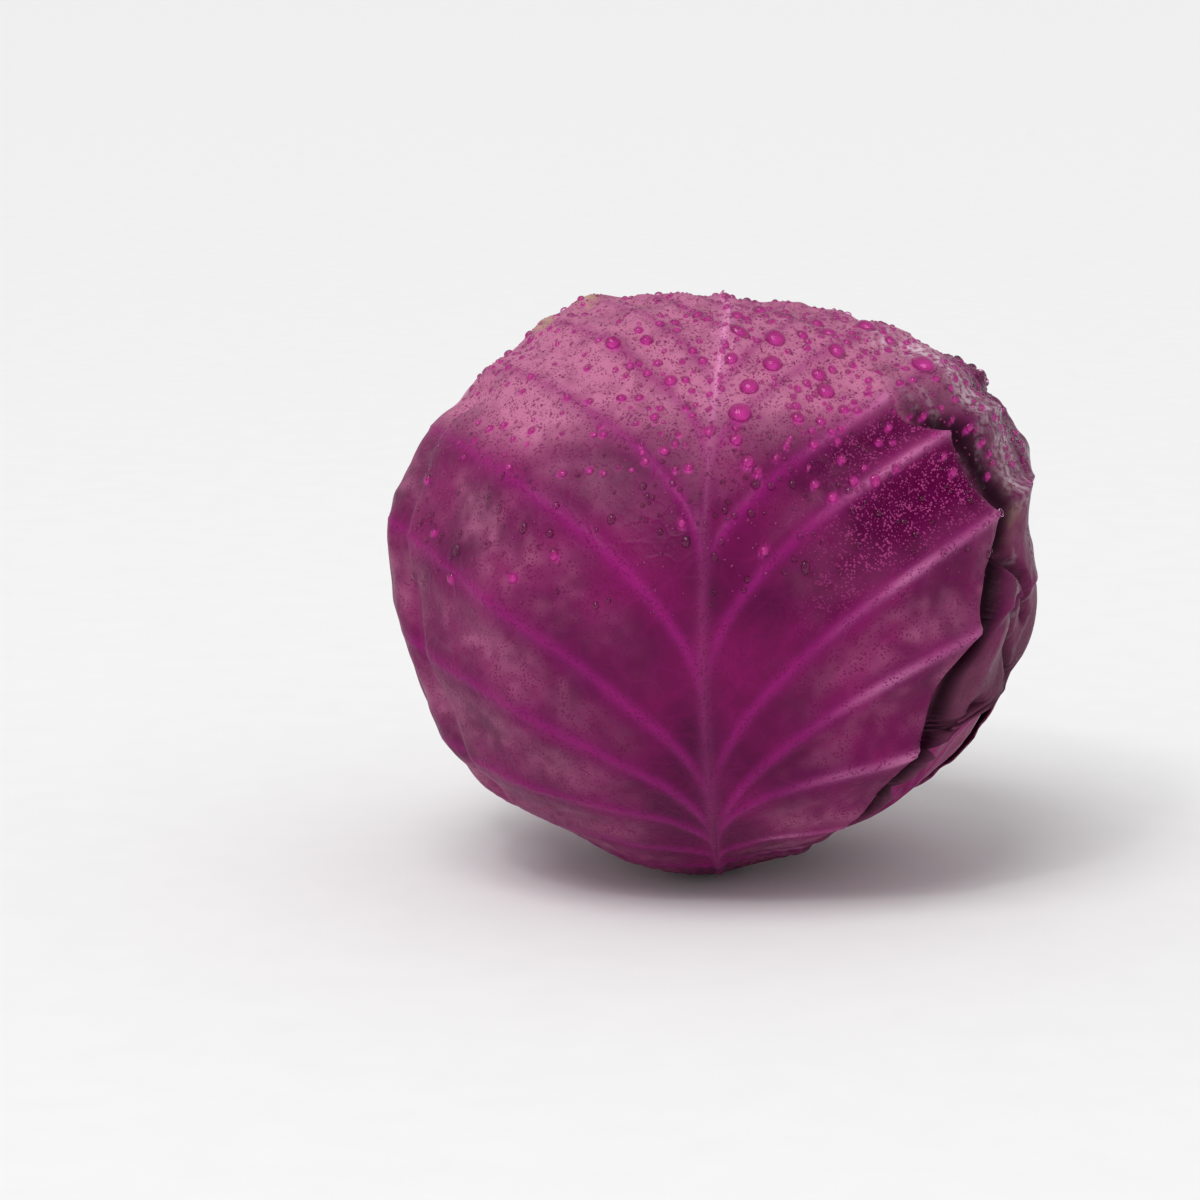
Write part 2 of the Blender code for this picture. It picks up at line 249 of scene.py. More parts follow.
class Leaf:
    """One wrapper leaf: where it lies on the ball, and its outline."""

    def __init__(self, order):
        name, facing, size, roll, foot = LEAF_ORDER[order]
        self.order = order
        self.name = name
        self.size = size
        self.halves = (half_leaf(foot, {}), half_leaf(foot, {} if order else RIGHT_VEINS))
        facing, roll, middle = math.radians(facing), math.radians(roll), math.radians(LEAF_MIDDLE)
        outward = np.array([math.cos(facing), math.sin(facing), 0.0])
        sideways = np.array([-math.sin(facing), math.cos(facing), 0.0])
        upward = np.array([0.0, 0.0, 1.0])
        self.centre = outward * math.sin(middle) - upward * math.cos(middle)
        along = outward * math.cos(middle) + upward * math.sin(middle)
        self.across = sideways * math.cos(roll) + along * math.sin(roll)
        self.along = along * math.cos(roll) - sideways * math.sin(roll)
        rows = np.linspace(0, len(SIDE_VEINS) - 1, 160)
        right, left = self.flat(np.ones_like(rows), rows), self.flat(-np.ones_like(rows), rows)
        x = np.concatenate([right[0], left[0][::-1]])
        y = np.concatenate([right[1], left[1][::-1]])
        turn = np.arctan2(x, y)
        in_turn = np.argsort(turn)
        self.turns, self.reach = turn[in_turn], np.hypot(x, y)[in_turn]

    def flat(self, across, row):
        """Flat place, in degrees of arc, of a point that far across the half leaf on that side vein."""
        share = np.abs(across)
        left = through_points(self.halves[0], row)
        right = through_points(self.halves[1], row)
        vein = np.where((across > 0)[..., None], right, left)
        x = np.sign(across) * vein[..., 1] * share**VEIN_SWEEP
        y = vein[..., 0] + (vein[..., 2] - vein[..., 0]) * share ** vein[..., 3]
        return x * self.size + sway(y) * (1.0 - share) ** 2, y

    def directions(self, x, y):
        """Directions from the head's middle for flat places."""
        arc = np.hypot(x, y)[..., None]
        tangent = (x[..., None] * self.across + y[..., None] * self.along) / np.maximum(arc, 1e-9)
        return np.cos(np.radians(arc)) * self.centre + np.sin(np.radians(arc)) * tangent

    def flat_of(self, way):
        """Flat places of directions."""
        arc = np.degrees(np.arccos(np.clip(way @ self.centre, -1.0, 1.0)))
        x, y = way @ self.across, way @ self.along
        length = np.maximum(np.hypot(x, y), 1e-9)
        return arc * x / length, arc * y / length

    def outside(self, way):
        """Degrees of arc from the leaf's edge, negative inside it."""
        x, y = self.flat_of(way)
        return np.hypot(x, y) - np.interp(np.arctan2(x, y), self.turns, self.reach, period=2 * math.pi)

    def midrib(self, x, y, spread=1.0):
        """Height of the midrib on the leaf's outer face."""
        along = (1.0 - np.clip((y + 85.0) / 175.0, 0.0, 1.0)) ** 2.5
        half = (MIDRIB_HALF_TIP + (MIDRIB_HALF_BASE - MIDRIB_HALF_TIP) * along) * spread
        height = MIDRIB_TIP + (MIDRIB_BASE - MIDRIB_TIP) * along
        return height * (1.0 - ease(np.abs(x - sway(y)) / (2.0 * half)))


LEAVES = [Leaf(order) for order in range(len(LEAF_ORDER))]
print(len(LEAVES), "wrapper leaves, the outermost faces the camera")

# %% [markdown]
# ## Leaves that lie on each other
#
# A leaf that lies on others rides up over them. A cloth simulation could find its shape, but it is slow and
# differs from run to run. Instead the height of a leaf is worked out from the inside: it is the sum of the
# thicknesses of all the leaves under that spot, so no two can cross. Folds and bumps are only allowed where
# nothing lies on top.

# %% The stack of leaves
BLADE = 0.8 * MM
LEAF_GAP = 1.4 * MM
SIDE_RIB = 0.5 * MM


def stack_under(order, way):
    """Height over the ball of everything that lies under the leaf of that order."""
    total = np.zeros(way.shape[:-1])
    for leaf in LEAVES[order + 1 :]:
        cover = 1.0 - ease((leaf.outside(way) - EDGE_REACH) / EDGE_FADE)
        total += cover * (BLADE + LEAF_GAP + SIDE_RIB + leaf.midrib(*leaf.flat_of(way), 1.6))
    return total


def open_air(order, way):
    """1 where no leaf lies over the leaf of that order, 0 under or near one."""
    clear = np.ones(way.shape[:-1])
    for leaf in LEAVES[:order]:
        clear *= ease((leaf.outside(way) - EDGE_REACH) / RELIEF_FADE)
    return clear


depth = stack_under(0, np.array([[0.0, -1.0, 0.0]]))[0] / MM
print("under the middle of the outermost leaf lie", depth.round(1), "mm of leaves")

# %% [markdown]
# ## Tents, the pleat and the margin
#
# The side veins hold the blade up like tent poles. Near the edge of the outermost leaf the poles end in
# sharp peaks, the blade dives into a deep crease, and the margin outside it stands in loose folds. Such
# folds are often sculpted, but they follow the veins here. So all of that is height over the leaf beneath,
# written as a function of the vein number and the share across.

# %% Sizes of the folds
# Where the pleat lies on each side vein, as a share across, and how deep it is there
PLEAT_PLACES = (0.8, 0.82, 0.86, 0.88, 0.86, 0.67, 0.65, 0.7, 0.62, 0.58, 0.68, 0.78, 0.8, 0.8, 0.8, 0.8)
PLEAT_DEPTHS = (0.0, 0.0, 0.0, 0.3, 0.8, 1.0, 1.0, 1.0, 1.0, 0.35, 0.0, 0.0, 0.0, 0.0, 0.0, 0.0)
OTHER_PLEAT, OTHER_PLEAT_DEPTH = 0.82, 0.35
TENT_HEIGHT = 3.2 * MM
PEAK_HEIGHT = 1.4 * MM
PLEAT_HEIGHT = 3.0 * MM
FOLD_HEIGHT = 2.0 * MM
CREASE_HALF = 0.016
EDGE_HUG = 0.75
EDGE_WAVE = 1.4 * MM
EDGE_TURN = 1.9
INNER_LIFT = 0.5  # inner leaves are pressed flatter
SWELL_HEIGHT, SWELL_PITCH = 1.5 * MM, 30.0
FIBRE_HEIGHT = 0.7 * MM
# Crests and dips of the outermost leaf's right half: side vein, half length in veins, share across where it
# starts, and height
CRESTS = (
    (8.95, 1.05, 0.5, 6.0 * MM),
    (7.3, 0.42, 0.75, 3.4 * MM),
    (6.3, 0.8, 0.7, -2.2 * MM),
    (5.2, 0.65, 0.66, 3.6 * MM),
    (10.9, 1.1, 0.35, -3.2 * MM),
)
# Teeth of its edge that stand off: side vein, half length in veins, and height
FLARES = ((9.0, 0.34, 2.0 * MM), (8.62, 0.14, 1.4 * MM), (7.4, 0.16, 0.6 * MM))
# Furrows of its margin: lines of flat places in degrees
FURROWS = (
    ((53.7, 11.9), (61.0, 5.0), (66.1, -3.2)),
    ((58.2, 0.3), (60.0, -7.0), (59.0, -14.9)),
    ((47.5, -18.5), (46.0, -25.5)),
)
FURROW_HALF = 1.5  # mm
print(len(CRESTS), "crests and dips,", len(FLARES), "teeth and", len(FURROWS), "furrows")

# %% The crease and the furrows


def pleat_at(leaf, right, row):
    """The pleat's place on a side vein, as a share of the way across, and how deep it is there."""
    if leaf.order:
        return np.full(row.shape, OTHER_PLEAT), np.full(row.shape, OTHER_PLEAT_DEPTH)
    place, depth = np.moveaxis(through_points(np.transpose([PLEAT_PLACES, PLEAT_DEPTHS]), row), -1, 0)
    return np.where(right, place, OTHER_PLEAT), np.where(right, np.clip(depth, 0.0, 1.0), OTHER_PLEAT_DEPTH)


def furrow(paper):
    """1 in the furrows of the margin, 0 well away from them. paper is the flat place in millimetres."""
    deepest = np.zeros(paper.shape[:-1])
    for line in FURROWS:
        for start, end in zip(line, line[1:]):
            start, end = np.array(start) * MM_PER_DEGREE, np.array(end) * MM_PER_DEGREE
            run = end - start
            t = np.clip((paper - start) @ run / (run @ run), 0.0, 1.0)
            away = np.linalg.norm(paper - start - t[..., None] * run, axis=-1)
            deepest = np.maximum(deepest, hump(away, 0.0, FURROW_HALF))
    return deepest


def from_crease(leaf, across, row, paper):
    """Share past the crease, which is scalloped by the veins and wanders a little."""
    place, depth = pleat_at(leaf, across > 0, row)
    peak = (1.0 - 2.0 * np.abs(row - np.round(row))) ** 2
    wander = (hills(paper, 14.0, 3) - 0.5) * 0.03
    return np.abs(across) - place - wander - 0.018 * (peak - 0.4) * depth


print("on vein 7 the crease lies at a share of", pleat_at(LEAVES[0], np.array([True]), np.array([7.0]))[0][0])

# %% How far the blade stands off


def blade_lift(leaf, across, row, paper):
    """How far the blade stands off what is under it. paper is the flat place in millimetres."""
    share = np.abs(across)
    place, depth = pleat_at(leaf, across > 0, row)
    off_vein = np.abs(row - np.round(row)) * 2.0
    veined = ease((row - FIRST_SIDE_VEIN) / 2.0) * ease((LAST_SIDE_VEIN - row) / 2.0)
    past = np.clip((share - place) / (1.0 - place), 0.0, 1.0)
    sharp = depth**2 * ease(share / place * 2.0 - 0.6)
    roof = sharp * (1.0 - off_vein) ** 1.2 + (1.0 - sharp) * (0.5 + 0.5 * np.cos(math.pi * off_vein))
    tents = TENT_HEIGHT * roof * ease(share / place) * (0.4 + 0.6 * depth)
    tents += PEAK_HEIGHT * depth**2 * (1.0 - off_vein) ** 3 * ease((share / place - 0.62) / 0.38)
    band = PLEAT_HEIGHT * ease(share / place * 1.6 - 0.6)
    beyond = from_crease(leaf, across, row, paper)
    half = np.where(beyond > 0, CREASE_HALF * 2.2, CREASE_HALF)
    crease = 1.0 - depth * hump(beyond, 0.0, half)
    margin = 1.0 - EDGE_HUG * ease(past * 1.4 - 0.4)
    wave = EDGE_WAVE * (0.5 + 0.5 * np.sin(row * EDGE_TURN + leaf.order)) * ease(past) * veined
    # Loose folds and fine fibres in the margin run along it
    fold_place = np.stack([past * 16.0, row * 8.0], axis=-1)
    loose = ease(past * 6.0) * depth * veined * (1.0 - ease((past - 0.85) * 6.0))
    loose *= ease((row - 4.3) / 1.2)
    folds = FOLD_HEIGHT * np.abs(hills(fold_place, 5.0, 5) - 0.5) * 2.0 * loose
    folds += FIBRE_HEIGHT * hills(fold_place * (4.0, 0.7), 5.0, 6) * loose
    lift = veined * (tents + band) * margin + wave + folds
    if leaf.order:
        lift *= INNER_LIFT * (1.0 - 0.7 * ease((share - 0.75) / 0.2))
    else:
        for vein, length, start, height in CRESTS:
            crest = height * ease((share - start) / 0.3) * hump(row, vein, length)
            lift = np.maximum(lift + np.where(across > 0, crest, 0.0), 0.0)
        for vein, length, height in FLARES:
            flare = height * ease((share - 0.88) / 0.1) * hump(row, vein, length, 4)
            lift = lift + np.where(across > 0, flare, 0.0)
        lift = lift * (1.0 - 0.8 * furrow(paper))
    # Slow swells, and the puckers of the blade between its veins
    swell = SWELL_HEIGHT * (hills(paper, SWELL_PITCH, 11 + leaf.order) - 0.55)
    pucker = (0.8 * hills(paper, 11.0, 31 + leaf.order) + 0.3 * hills(paper, 4.5, 35)) * MM
    lift = lift + (swell + pucker * ease(off_vein * 2.0)) * ease(share * 3.0)
    return np.maximum(lift, 0.0) * crease


out, seventh = np.array([0.6]), np.array([7.0])
stand_off = blade_lift(LEAVES[0], out, seventh, np.zeros((1, 2)))[0] / MM
print("a little past half way out on vein 7 the blade stands off", stand_off.round(1), "mm")

# %% [markdown]
# ## Ribs in the skin
#
# On the outer face the veins stand proud: a round midrib, ribs that thin out towards the edge, and at the
# base a fan of fine ribs that run together into the stalk. A bump map could fake them, but they show at the
# outline and catch the light, so they are real relief. Their width is in millimetres, so the distance to
# the nearest vein is measured square to it.

# %% Distance to the veins and the height of the ribs
RIB_HALF_WIDTH = 1.5  # mm, of a side rib near the midrib
BAND_HALF_WIDTH = 3.1  # mm, of the bright band that a side rib shines through the skin
MIDRIB_CREST = 1.15  # mm, half the width of the midrib's sharp crest
# The pale line along a rib's crest is a painted highlight
CREST_HIGHLIGHT_HALF_WIDTH = 1.1  # mm, of the pale line along a rib's crest
FAN_PITCH = 5.5  # degrees between the fine ribs at the base
CREST_HEIGHT, FAN_HEIGHT = 0.85 * MM, 0.4 * MM


def vein_distance(leaf, across, row):
    """Millimetres to the nearest side vein, measured square to it."""
    step = 0.02
    inner = np.clip(np.abs(across), 0.03, 0.97) * np.where(across < 0, -1.0, 1.0)
    row_low, row_high = leaf.flat(inner, row - step), leaf.flat(inner, row + step)
    near, far = leaf.flat(inner * (1 - step), row), leaf.flat(inner * (1 + step), row)
    by_row = [(high - low) / (2 * step) for low, high in zip(row_low, row_high)]
    by_share = [b - a for a, b in zip(near, far)]
    length = np.maximum(np.hypot(*by_share), 1e-9)
    spacing = np.abs(by_row[0] * by_share[1] - by_row[1] * by_share[0]) / length
    return np.abs(row - np.round(row)) * spacing * MM_PER_DEGREE


def veins_at(leaf, across, row, x, y):
    """How much of a vein each place is, and how high its rib stands."""
    share = np.abs(across)
    thin = 1.0 - 0.72 * share
    distance = vein_distance(leaf, across, row)
    fade = ease((row - 2.3) / 0.6) * ease((1.0 - share) / 0.08) * ease(share / 0.08)
    side = hump(distance, 0.0, RIB_HALF_WIDTH * thin) * fade
    band_half = BAND_HALF_WIDTH * (0.42 + 0.58 * ease(share / 0.45)) * thin**0.4
    band = hump(distance, 0.0, band_half) * fade
    from_midrib = (x - sway(y)) * MM_PER_DEGREE
    middle = hump(from_midrib, 0.0, MIDRIB_CREST * (1.3 - 0.5 * np.clip(y / 90.0, -0.8, 1.0)))
    angle = np.degrees(np.arctan2(x, y + 99.0))
    fan = (0.5 + 0.5 * np.cos(angle * 2 * math.pi / FAN_PITCH)) * ease((-48.0 - y) / 22.0)
    height = SIDE_RIB * 1.25 * (0.6 * side + 0.4 * band) * thin + CREST_HEIGHT * middle + FAN_HEIGHT * fan
    return np.clip(0.45 * side * thin**0.4 + 0.5 * band + 0.3 * middle + 0.25 * fan, 0.0, 1.0), height


between = vein_distance(LEAVES[0], out, np.array([7.5]))[0]
print("half way between veins 7 and 8 the nearest is", between.round(1), "mm away")

# %% [markdown]
# ## A leaf as a mesh
#
# A real blade is a closed sheet less than a millimetre thick. The Solidify modifier could thicken a single
# face, but its back would cross itself in sharp folds. So each leaf has a fine outer face, which is what
# shows, an inner face with a third as many rows and columns, and a rim between them. The inner face keeps
# under the lowest point of the outer one around it. Edges are nibbled, and the blade thins towards its rim.

# %% Uneven edges
# How far across the torn edge still reaches, by side vein
TORN_ROWS = (3.8, 4.1, 4.28, 4.42, 4.58, 4.75, 4.9, 5.04, 5.12, 5.2, 5.32)
TORN_REACH = (0.99, 0.97, 0.96, 0.87, 0.83, 0.80, 0.78, 0.77, 0.82, 0.94, 1.0)


def nibbled(leaf, across, rows):
    """The same places, drawn in a little near the edge so that the outline is uneven."""
    side = np.where(across > 0, 50.0, 0.0)
    line = np.stack([rows + side, rows * 0.0 + leaf.order * 9.0], axis=-1)
    draw = 0.016 * hills(line, 0.55, 71) + 0.010 * hills(line, 0.17, 72) + 0.006 * hills(line, 0.06, 73)
    if leaf.order == 0:
        torn = 1.0 - np.interp(rows, TORN_ROWS, TORN_REACH)
        ragged = 0.28 * hills(line, 0.12, 74) + 0.22 * hills(line, 0.04, 75)
        draw = draw + np.where(across > 0, torn * (0.78 + ragged), 0.0)
    return across * (1.0 - draw * ease((np.abs(across) - 0.5) / 0.5))


kept = nibbled(LEAVES[0], np.ones(1), np.array([5.0]))[0]
print("the torn edge keeps", kept.round(2), "of the half leaf at vein 5")

# %% The grid of a leaf
FRONT_CELLS = 96  # squares of the inner face each way; the outer one has three times as many
OTHER_CELLS = 68


def leaf_places(leaf, cells):
    """Shares across, side-vein numbers and flat places of a leaf's fine grid, spaced evenly on the leaf."""
    lines = 3 * cells + 1
    even = np.linspace(-1.0, 1.0, lines)
    across = np.sign(even) * np.abs(even) ** (1.0 / VEIN_SWEEP)
    dense = np.linspace(0, len(SIDE_VEINS) - 1, 600)
    x, y = LEAVES[0].flat(np.full(dense.shape, -0.5), dense)
    travelled = np.concatenate([[0.0], np.cumsum(np.hypot(np.diff(x), np.diff(y)))])
    rows = np.interp(np.linspace(0, travelled[-1], lines), travelled, dense)
    across, rows = np.meshgrid(across, rows)
    across = nibbled(leaf, across, rows)
    return across, rows, *leaf.flat(across, rows)


print("the outermost leaf's outer face has", leaf_places(LEAVES[0], FRONT_CELLS)[0].size, "points")

# %% The two faces of a leaf


def least_around(grid, reach):
    """The least value within a few grid squares of each place."""
    padded = np.pad(grid, reach, mode="edge")
    views = [
        padded[i : i + grid.shape[0], j : j + grid.shape[1]]
        for i in range(0, 2 * reach + 1)
        for j in range(0, 2 * reach + 1)
    ]
    return np.minimum.reduce(views)


def leaf_faces(leaf, cells):
    """The outer and inner face of a leaf, the skin at each outer point, and that point's flat place."""
    across, rows, x, y = leaf_places(leaf, cells)
    way = leaf.directions(x, y)
    paper = np.stack([x, y], axis=-1) * MM_PER_DEGREE
    clear = open_air(leaf.order, way)
    ground = stack_under(leaf.order, way) + LEAF_GAP / 2.0
    lift = blade_lift(leaf, across, rows, paper) * clear
    vein, rib = veins_at(leaf, across, rows, x, y)
    share = np.abs(across)
    blade = BLADE * (1.0 - 0.5 * ease((share - 0.9) / 0.1))
    outer = ground + lift + blade + rib * (0.4 + 0.6 * clear) + leaf.midrib(x, y) * 0.75
    outer_points = placed(way, outer)
    calm = ease((share - 0.93) / 0.05)
    hidden_lift = least_around(lift, 2) * (1.0 - calm) + lift * calm
    inner_points = placed(way[::3, ::3], (ground + hidden_lift)[::3, ::3])
    skin = skin_of(leaf, across, rows, x, y, way, clear, vein, paper)
    return outer_points, inner_points, skin, paper


print("the lowest number near each place:", least_around(np.array([[3, 1], [2, 4]]), 1).tolist())

# %% [markdown]
# ## Dew
#
# Water does not wet a cabbage leaf: the wax makes it stand in round beads. Particles could strew them, but
# loops with a fixed seed give the same beads each time and can keep them apart. The large ones are listed
# one by one. Small ones are strewn between them, and then a mist of the finest, which is as fine as it shows.

# %% Large beads
# Degrees across and up from the leaf's middle, and radius in millimetres
LARGE_BEADS = (
    (12.3, 59.2, 2.7), (11.2, 52.0, 2.6), (3.8, 38.3, 2.9), (6.0, 45.8, 2.5), (4.2, 61.0, 2.3),
    (4.4, 71.8, 2.0), (26.0, 64.2, 2.1), (22.4, 45.5, 2.3), (21.1, 49.7, 2.0), (43.2, 50.4, 2.9),
    (26.0, 56.3, 2.2), (36.0, 66.9, 2.2), (2.9, 31.9, 1.7), (15.3, 37.8, 1.7), (19.1, 61.4, 1.6),
    (17.5, 71.9, 1.6), (10.7, 74.3, 1.8), (2.5, 52.8, 1.8), (-10.2, 47.1, 1.8), (-16.6, 58.8, 1.8),
    (-22.8, 55.5, 2.0), (4.9, 27.1, 1.6), (20.0, 20.9, 1.4), (15.6, 41.3, 1.3), (12.5, 67.1, 1.3),
    (27.8, 23.8, 1.4), (22.7, 28.7, 1.3), (19.8, 37.1, 1.4), (40.2, 61.0, 1.6), (58.3, 66.4, 2.1),
    (-2.0, 33.5, 1.4), (-3.6, 52.7, 1.3), (-6.0, 55.3, 1.2), (-15.3, 49.5, 1.2), (-19.7, 42.2, 1.4),
    (-16.1, 42.4, 1.2), (-10.1, 29.5, 1.3), (25.0, 39.8, 1.4), (17.5, 31.4, 1.3), (25.1, 70.8, 1.8),
    (-5.7, 71.6, 1.4), (-11.1, 67.3, 1.4), (-14.2, 64.9, 1.3),
)
print(len(LARGE_BEADS), "large beads, the widest", 2 * max(bead[2] for bead in LARGE_BEADS), "mm across")

# %% Strew the small beads
# How many, least and greatest radius, and how far apart as a share of two radii
STREWN = ((900, 0.45, 1.25, 1.15), (2000, 0.2, 0.42, 1.3))
BEAD_SEED = 5
TRIES = 60000
DEWY_ACROSS, DEWY_UP = (-64, 74), (0, 97)  # degrees


def wetted(x, y):
    """Chance that a bead stays: less towards the dry lower half, and most right of the midrib."""
    high = ease((y - 0.3 * max(x, 0.0) + 4.0) / 34.0) * (0.5 if x < -14 else 1.0)
    beside = 0.6 * (2 < x < 54) * ease(y / 20.0)
    return max(high, beside) * (1.0 - 0.5 * ease((y - 68.0) / 16.0))


def strew_beads():
    """Flat place in degrees and radius in millimetres of every bead, none on another."""
    random = np.random.default_rng(BEAD_SEED)
    found = np.zeros((len(LARGE_BEADS) + sum(row[0] for row in STREWN), 3))
    found[: len(LARGE_BEADS)] = LARGE_BEADS
    count = len(LARGE_BEADS)
    for wanted, low, high, gap in STREWN:
        goal = count + wanted
        for _ in range(TRIES):
            x, y = random.uniform(*DEWY_ACROSS), random.uniform(*DEWY_UP)
            if random.random() > wetted(x, y):
                continue
            radius = low + (high - low) * random.random() ** 1.7
            others = found[:count]
            apart = gap * (radius + others[:, 2]) / MM_PER_DEGREE
            if ((x - others[:, 0]) ** 2 + (y - others[:, 1]) ** 2 > apart**2).all():
                found[count] = x, y, radius
                count += 1
            if count == goal:
                break
    return found[:count]


beads = strew_beads()
print(len(beads), "beads of dew")

# %% [markdown]
# ## What the skin is like, place by place
#
# A red cabbage leaf is deep purple where it is wet, brighter magenta on its ribs, and greyed by a dusty wax
# bloom where it faces the light. Its margin dries out past the fold. Shade in the crease and the furrows is
# painted into the colour, as are glints of mist, a highlight on the rib crests, light under the dew and light
# bounced onto the lower left. Such places could be painted by hand in an image, but they follow the veins
# and the crease, which are known here. So they are stored on the mesh as numbers from 0 to 1, and the
# material mixes its colours by them.

# %% Skin under the beads, with painted light
CLEAR_RADIUS = 0.6  # mm, of the smallest bead that is wide enough to see through
# Lower down the mesh's cells are too long to draw a small round spot, so there only larger beads count
LOW_DOWN, CLEAR_RADIUS_LOW = 25.0, 1.2
NEAR = 4.0  # degrees


def dew_wet_and_lit(x, y):
    """Under the clear beads: where water lies, its skin painted brighter, and a painted spot of the light the
    bead gathers.
    """
    wet, lit = np.zeros_like(x), np.zeros_like(x)
    clear = beads[:, 2] > np.where(beads[:, 1] > LOW_DOWN, CLEAR_RADIUS, CLEAR_RADIUS_LOW)
    for bead_x, bead_y, radius in beads[clear]:
        near = (np.abs(x - bead_x) < NEAR) & (np.abs(y - bead_y) < NEAR)
        side, up = (x[near] - bead_x) * MM_PER_DEGREE, (y[near] - bead_y) * MM_PER_DEGREE
        wet[near] = np.maximum(wet[near], ease((radius * 1.15 - np.hypot(side, up)) / 0.6))
        from_spot = np.hypot(side, up + 0.35 * radius) / radius
        lit[near] = np.maximum(lit[near], hump(from_spot, 0.0, 0.55))
    return wet, lit


first = np.array(LARGE_BEADS[0])[:2, None]
print("under the middle of the first bead the skin is", dew_wet_and_lit(*first)[0][0], "wet")

# %% Bloom and wet panels of the outermost leaf
# Panels that are wet and bare of bloom: side vein, half height in veins, share where they start, and softness
WET_PANELS = ((7.62, 0.5, 0.2, 0.2), (8.5, 0.42, 0.3, 0.12))


def front_bloom(across, rows, x, y, paper, cloud, mottle, off_vein, beyond):
    """How thick the bloom is, with painted bounce light low on the left, and how wet the panels are. beyond
    is the share past the crease.
    """
    share, right = np.abs(across), across > 0
    # Bloom lies thick on the upper part, and thin between the veins lower down
    line = y - 24.0 - 0.2 * np.maximum(x, 0.0) - 0.1 * np.maximum(-x, 0.0)
    top = ease((line + 3.0 + 13.0 * (cloud - 0.5)) / 20.0)
    fine = hills(paper, 2.6, 66)
    patchy = ease((0.45 * hills(paper, 12.0, 65) + 0.3 * mottle + 0.25 * fine - 0.25) / 0.5)
    bloom_and_bounce_light = np.where(right, 0.04 + 0.42 * patchy, 0.12 + 0.28 * patchy)
    # Painted light: low on the left the bloom is made thicker to stand in for light bounced onto it
    bloom_and_bounce_light *= 1.0 + 0.6 * ease((-42.0 - y) / 15.0) * ~right
    low = bloom_and_bounce_light * (0.3 + 0.7 * ease(off_vein * 1.5 - 0.2)) * ease((share - 0.1) / 0.5)
    panels = [hump(rows, vein, half, 4) * ease((share - at) / fade) for vein, half, at, fade in WET_PANELS]
    wet = np.maximum(*panels) * right * (1.0 - ease(beyond / 0.02 + 1.0)) * (0.7 + 0.5 * cloud)
    bloom = np.maximum(top, low) * (1.0 - np.clip(wet, 0.0, 1.0))
    return bloom * (0.72 + 0.5 * mottle) * (0.72 + 0.5 * fine), wet


print(len(WET_PANELS), "panels between veins are wet")

# %% Margin of the outermost leaf
# Where the waxy crest of the margin runs: side vein and share across
CREST_ROWS = (6.7, 7.1, 7.4, 7.8, 8.3, 8.9, 9.3, 9.8)
CREST_SHARES = (0.78, 0.77, 0.775, 0.765, 0.745, 0.755, 0.755, 0.7)


def front_skin(leaf, across, rows, x, y, paper, cloud, mottle, off_vein, beyond):
    """The outermost leaf's skin: dry, waxy and yellowed in its folded margin, with painted shade in the
    crease and furrows.
    """
    share, right = np.abs(across), across > 0
    depth = pleat_at(leaf, right, rows)[1] * right
    margin = ease(beyond / 0.03) * depth
    bloom, wet = front_bloom(across, rows, x, y, paper, cloud, mottle, off_vein, beyond)
    # A waxy crest runs along the upper right margin
    window = ease((rows - 6.7) / 0.5) * ease((10.2 - rows) / 0.6) * right
    over = share - np.interp(rows, CREST_ROWS, CREST_SHARES)
    pale = (hump(over, 0.0, 0.035) + 0.3 * ease(over / 0.04)) * window
    edge = ease((share - 0.88) / 0.08) * hump(rows, 9.2, 0.8) * ~right
    grains = ease((0.5 * hills(paper, 2.2, 62) + 0.5 * hills(paper, 5.0, 64) - 0.38) / 0.25)
    pale = (1.1 * pale + 0.8 * edge) * (0.3 + 0.7 * grains)
    yellow = hump(share, 0.875, 0.04) * ~right
    yellow *= hump(rows, 10.0, 0.2) + hump(rows, 10.85, 0.3)
    greened = hump(share, 0.735, 0.03) * hump(rows, 6.95, 0.3) * right
    yellow = (yellow + 0.6 * greened) * (0.15 + 0.8 * grains)
    # Fibres of the dry margin run along it
    torn = ease((6.0 - rows) / 0.8) * ease((rows - 2.0) / 1.0)
    fibre = hills(np.stack([share * 70.0, rows * 1.6], axis=-1), 1.0, 63)
    dry = margin * (0.18 + 0.5 * fibre + 0.45 * torn)
    pale = pale + 0.5 * margin * ease((fibre - 0.62) / 0.2) * (1.0 - 0.5 * torn)
    # Painted shade in the crease, deepest a little past it, and in the furrows of the margin
    shade = hump(beyond, 0.022, np.where(beyond > 0.022, 0.026, 0.018)) * depth
    shade = np.maximum(shade * ease((rows - 3.6) / 0.8), 0.75 * furrow(paper) * right)
    # Past the crest the rim is smooth and dark
    rim = ease((over - 0.045) / 0.025) * right
    rim *= ease((rows - 7.05) / 0.2) * ease((9.4 - rows) / 0.4)
    skin = {"bloom": bloom * (1.0 - 0.5 * margin), "dry": dry, "pale": pale}
    skin = {label: values * (1.0 - rim) for label, values in skin.items()}
    skin["dew_wet_and_lit"], skin["lit"] = dew_wet_and_lit(x, y)
    # The painted crease shade and the dark rim also count as wet, for the deep wet colour and less sheen
    return {**skin, "wet": np.maximum.reduce([wet, rim, 0.8 * shade]), "yellow": yellow, "shade": shade}


print("the waxy crest runs from vein", CREST_ROWS[0], "to vein", CREST_ROWS[-1])

# %% The skin of the other leaves
SKIN_NUMBERS = ("vein", "midrib", "bloom", "wet", "dry", "pale", "yellow", "shade", "dew_wet_and_lit", "lit", "covered")


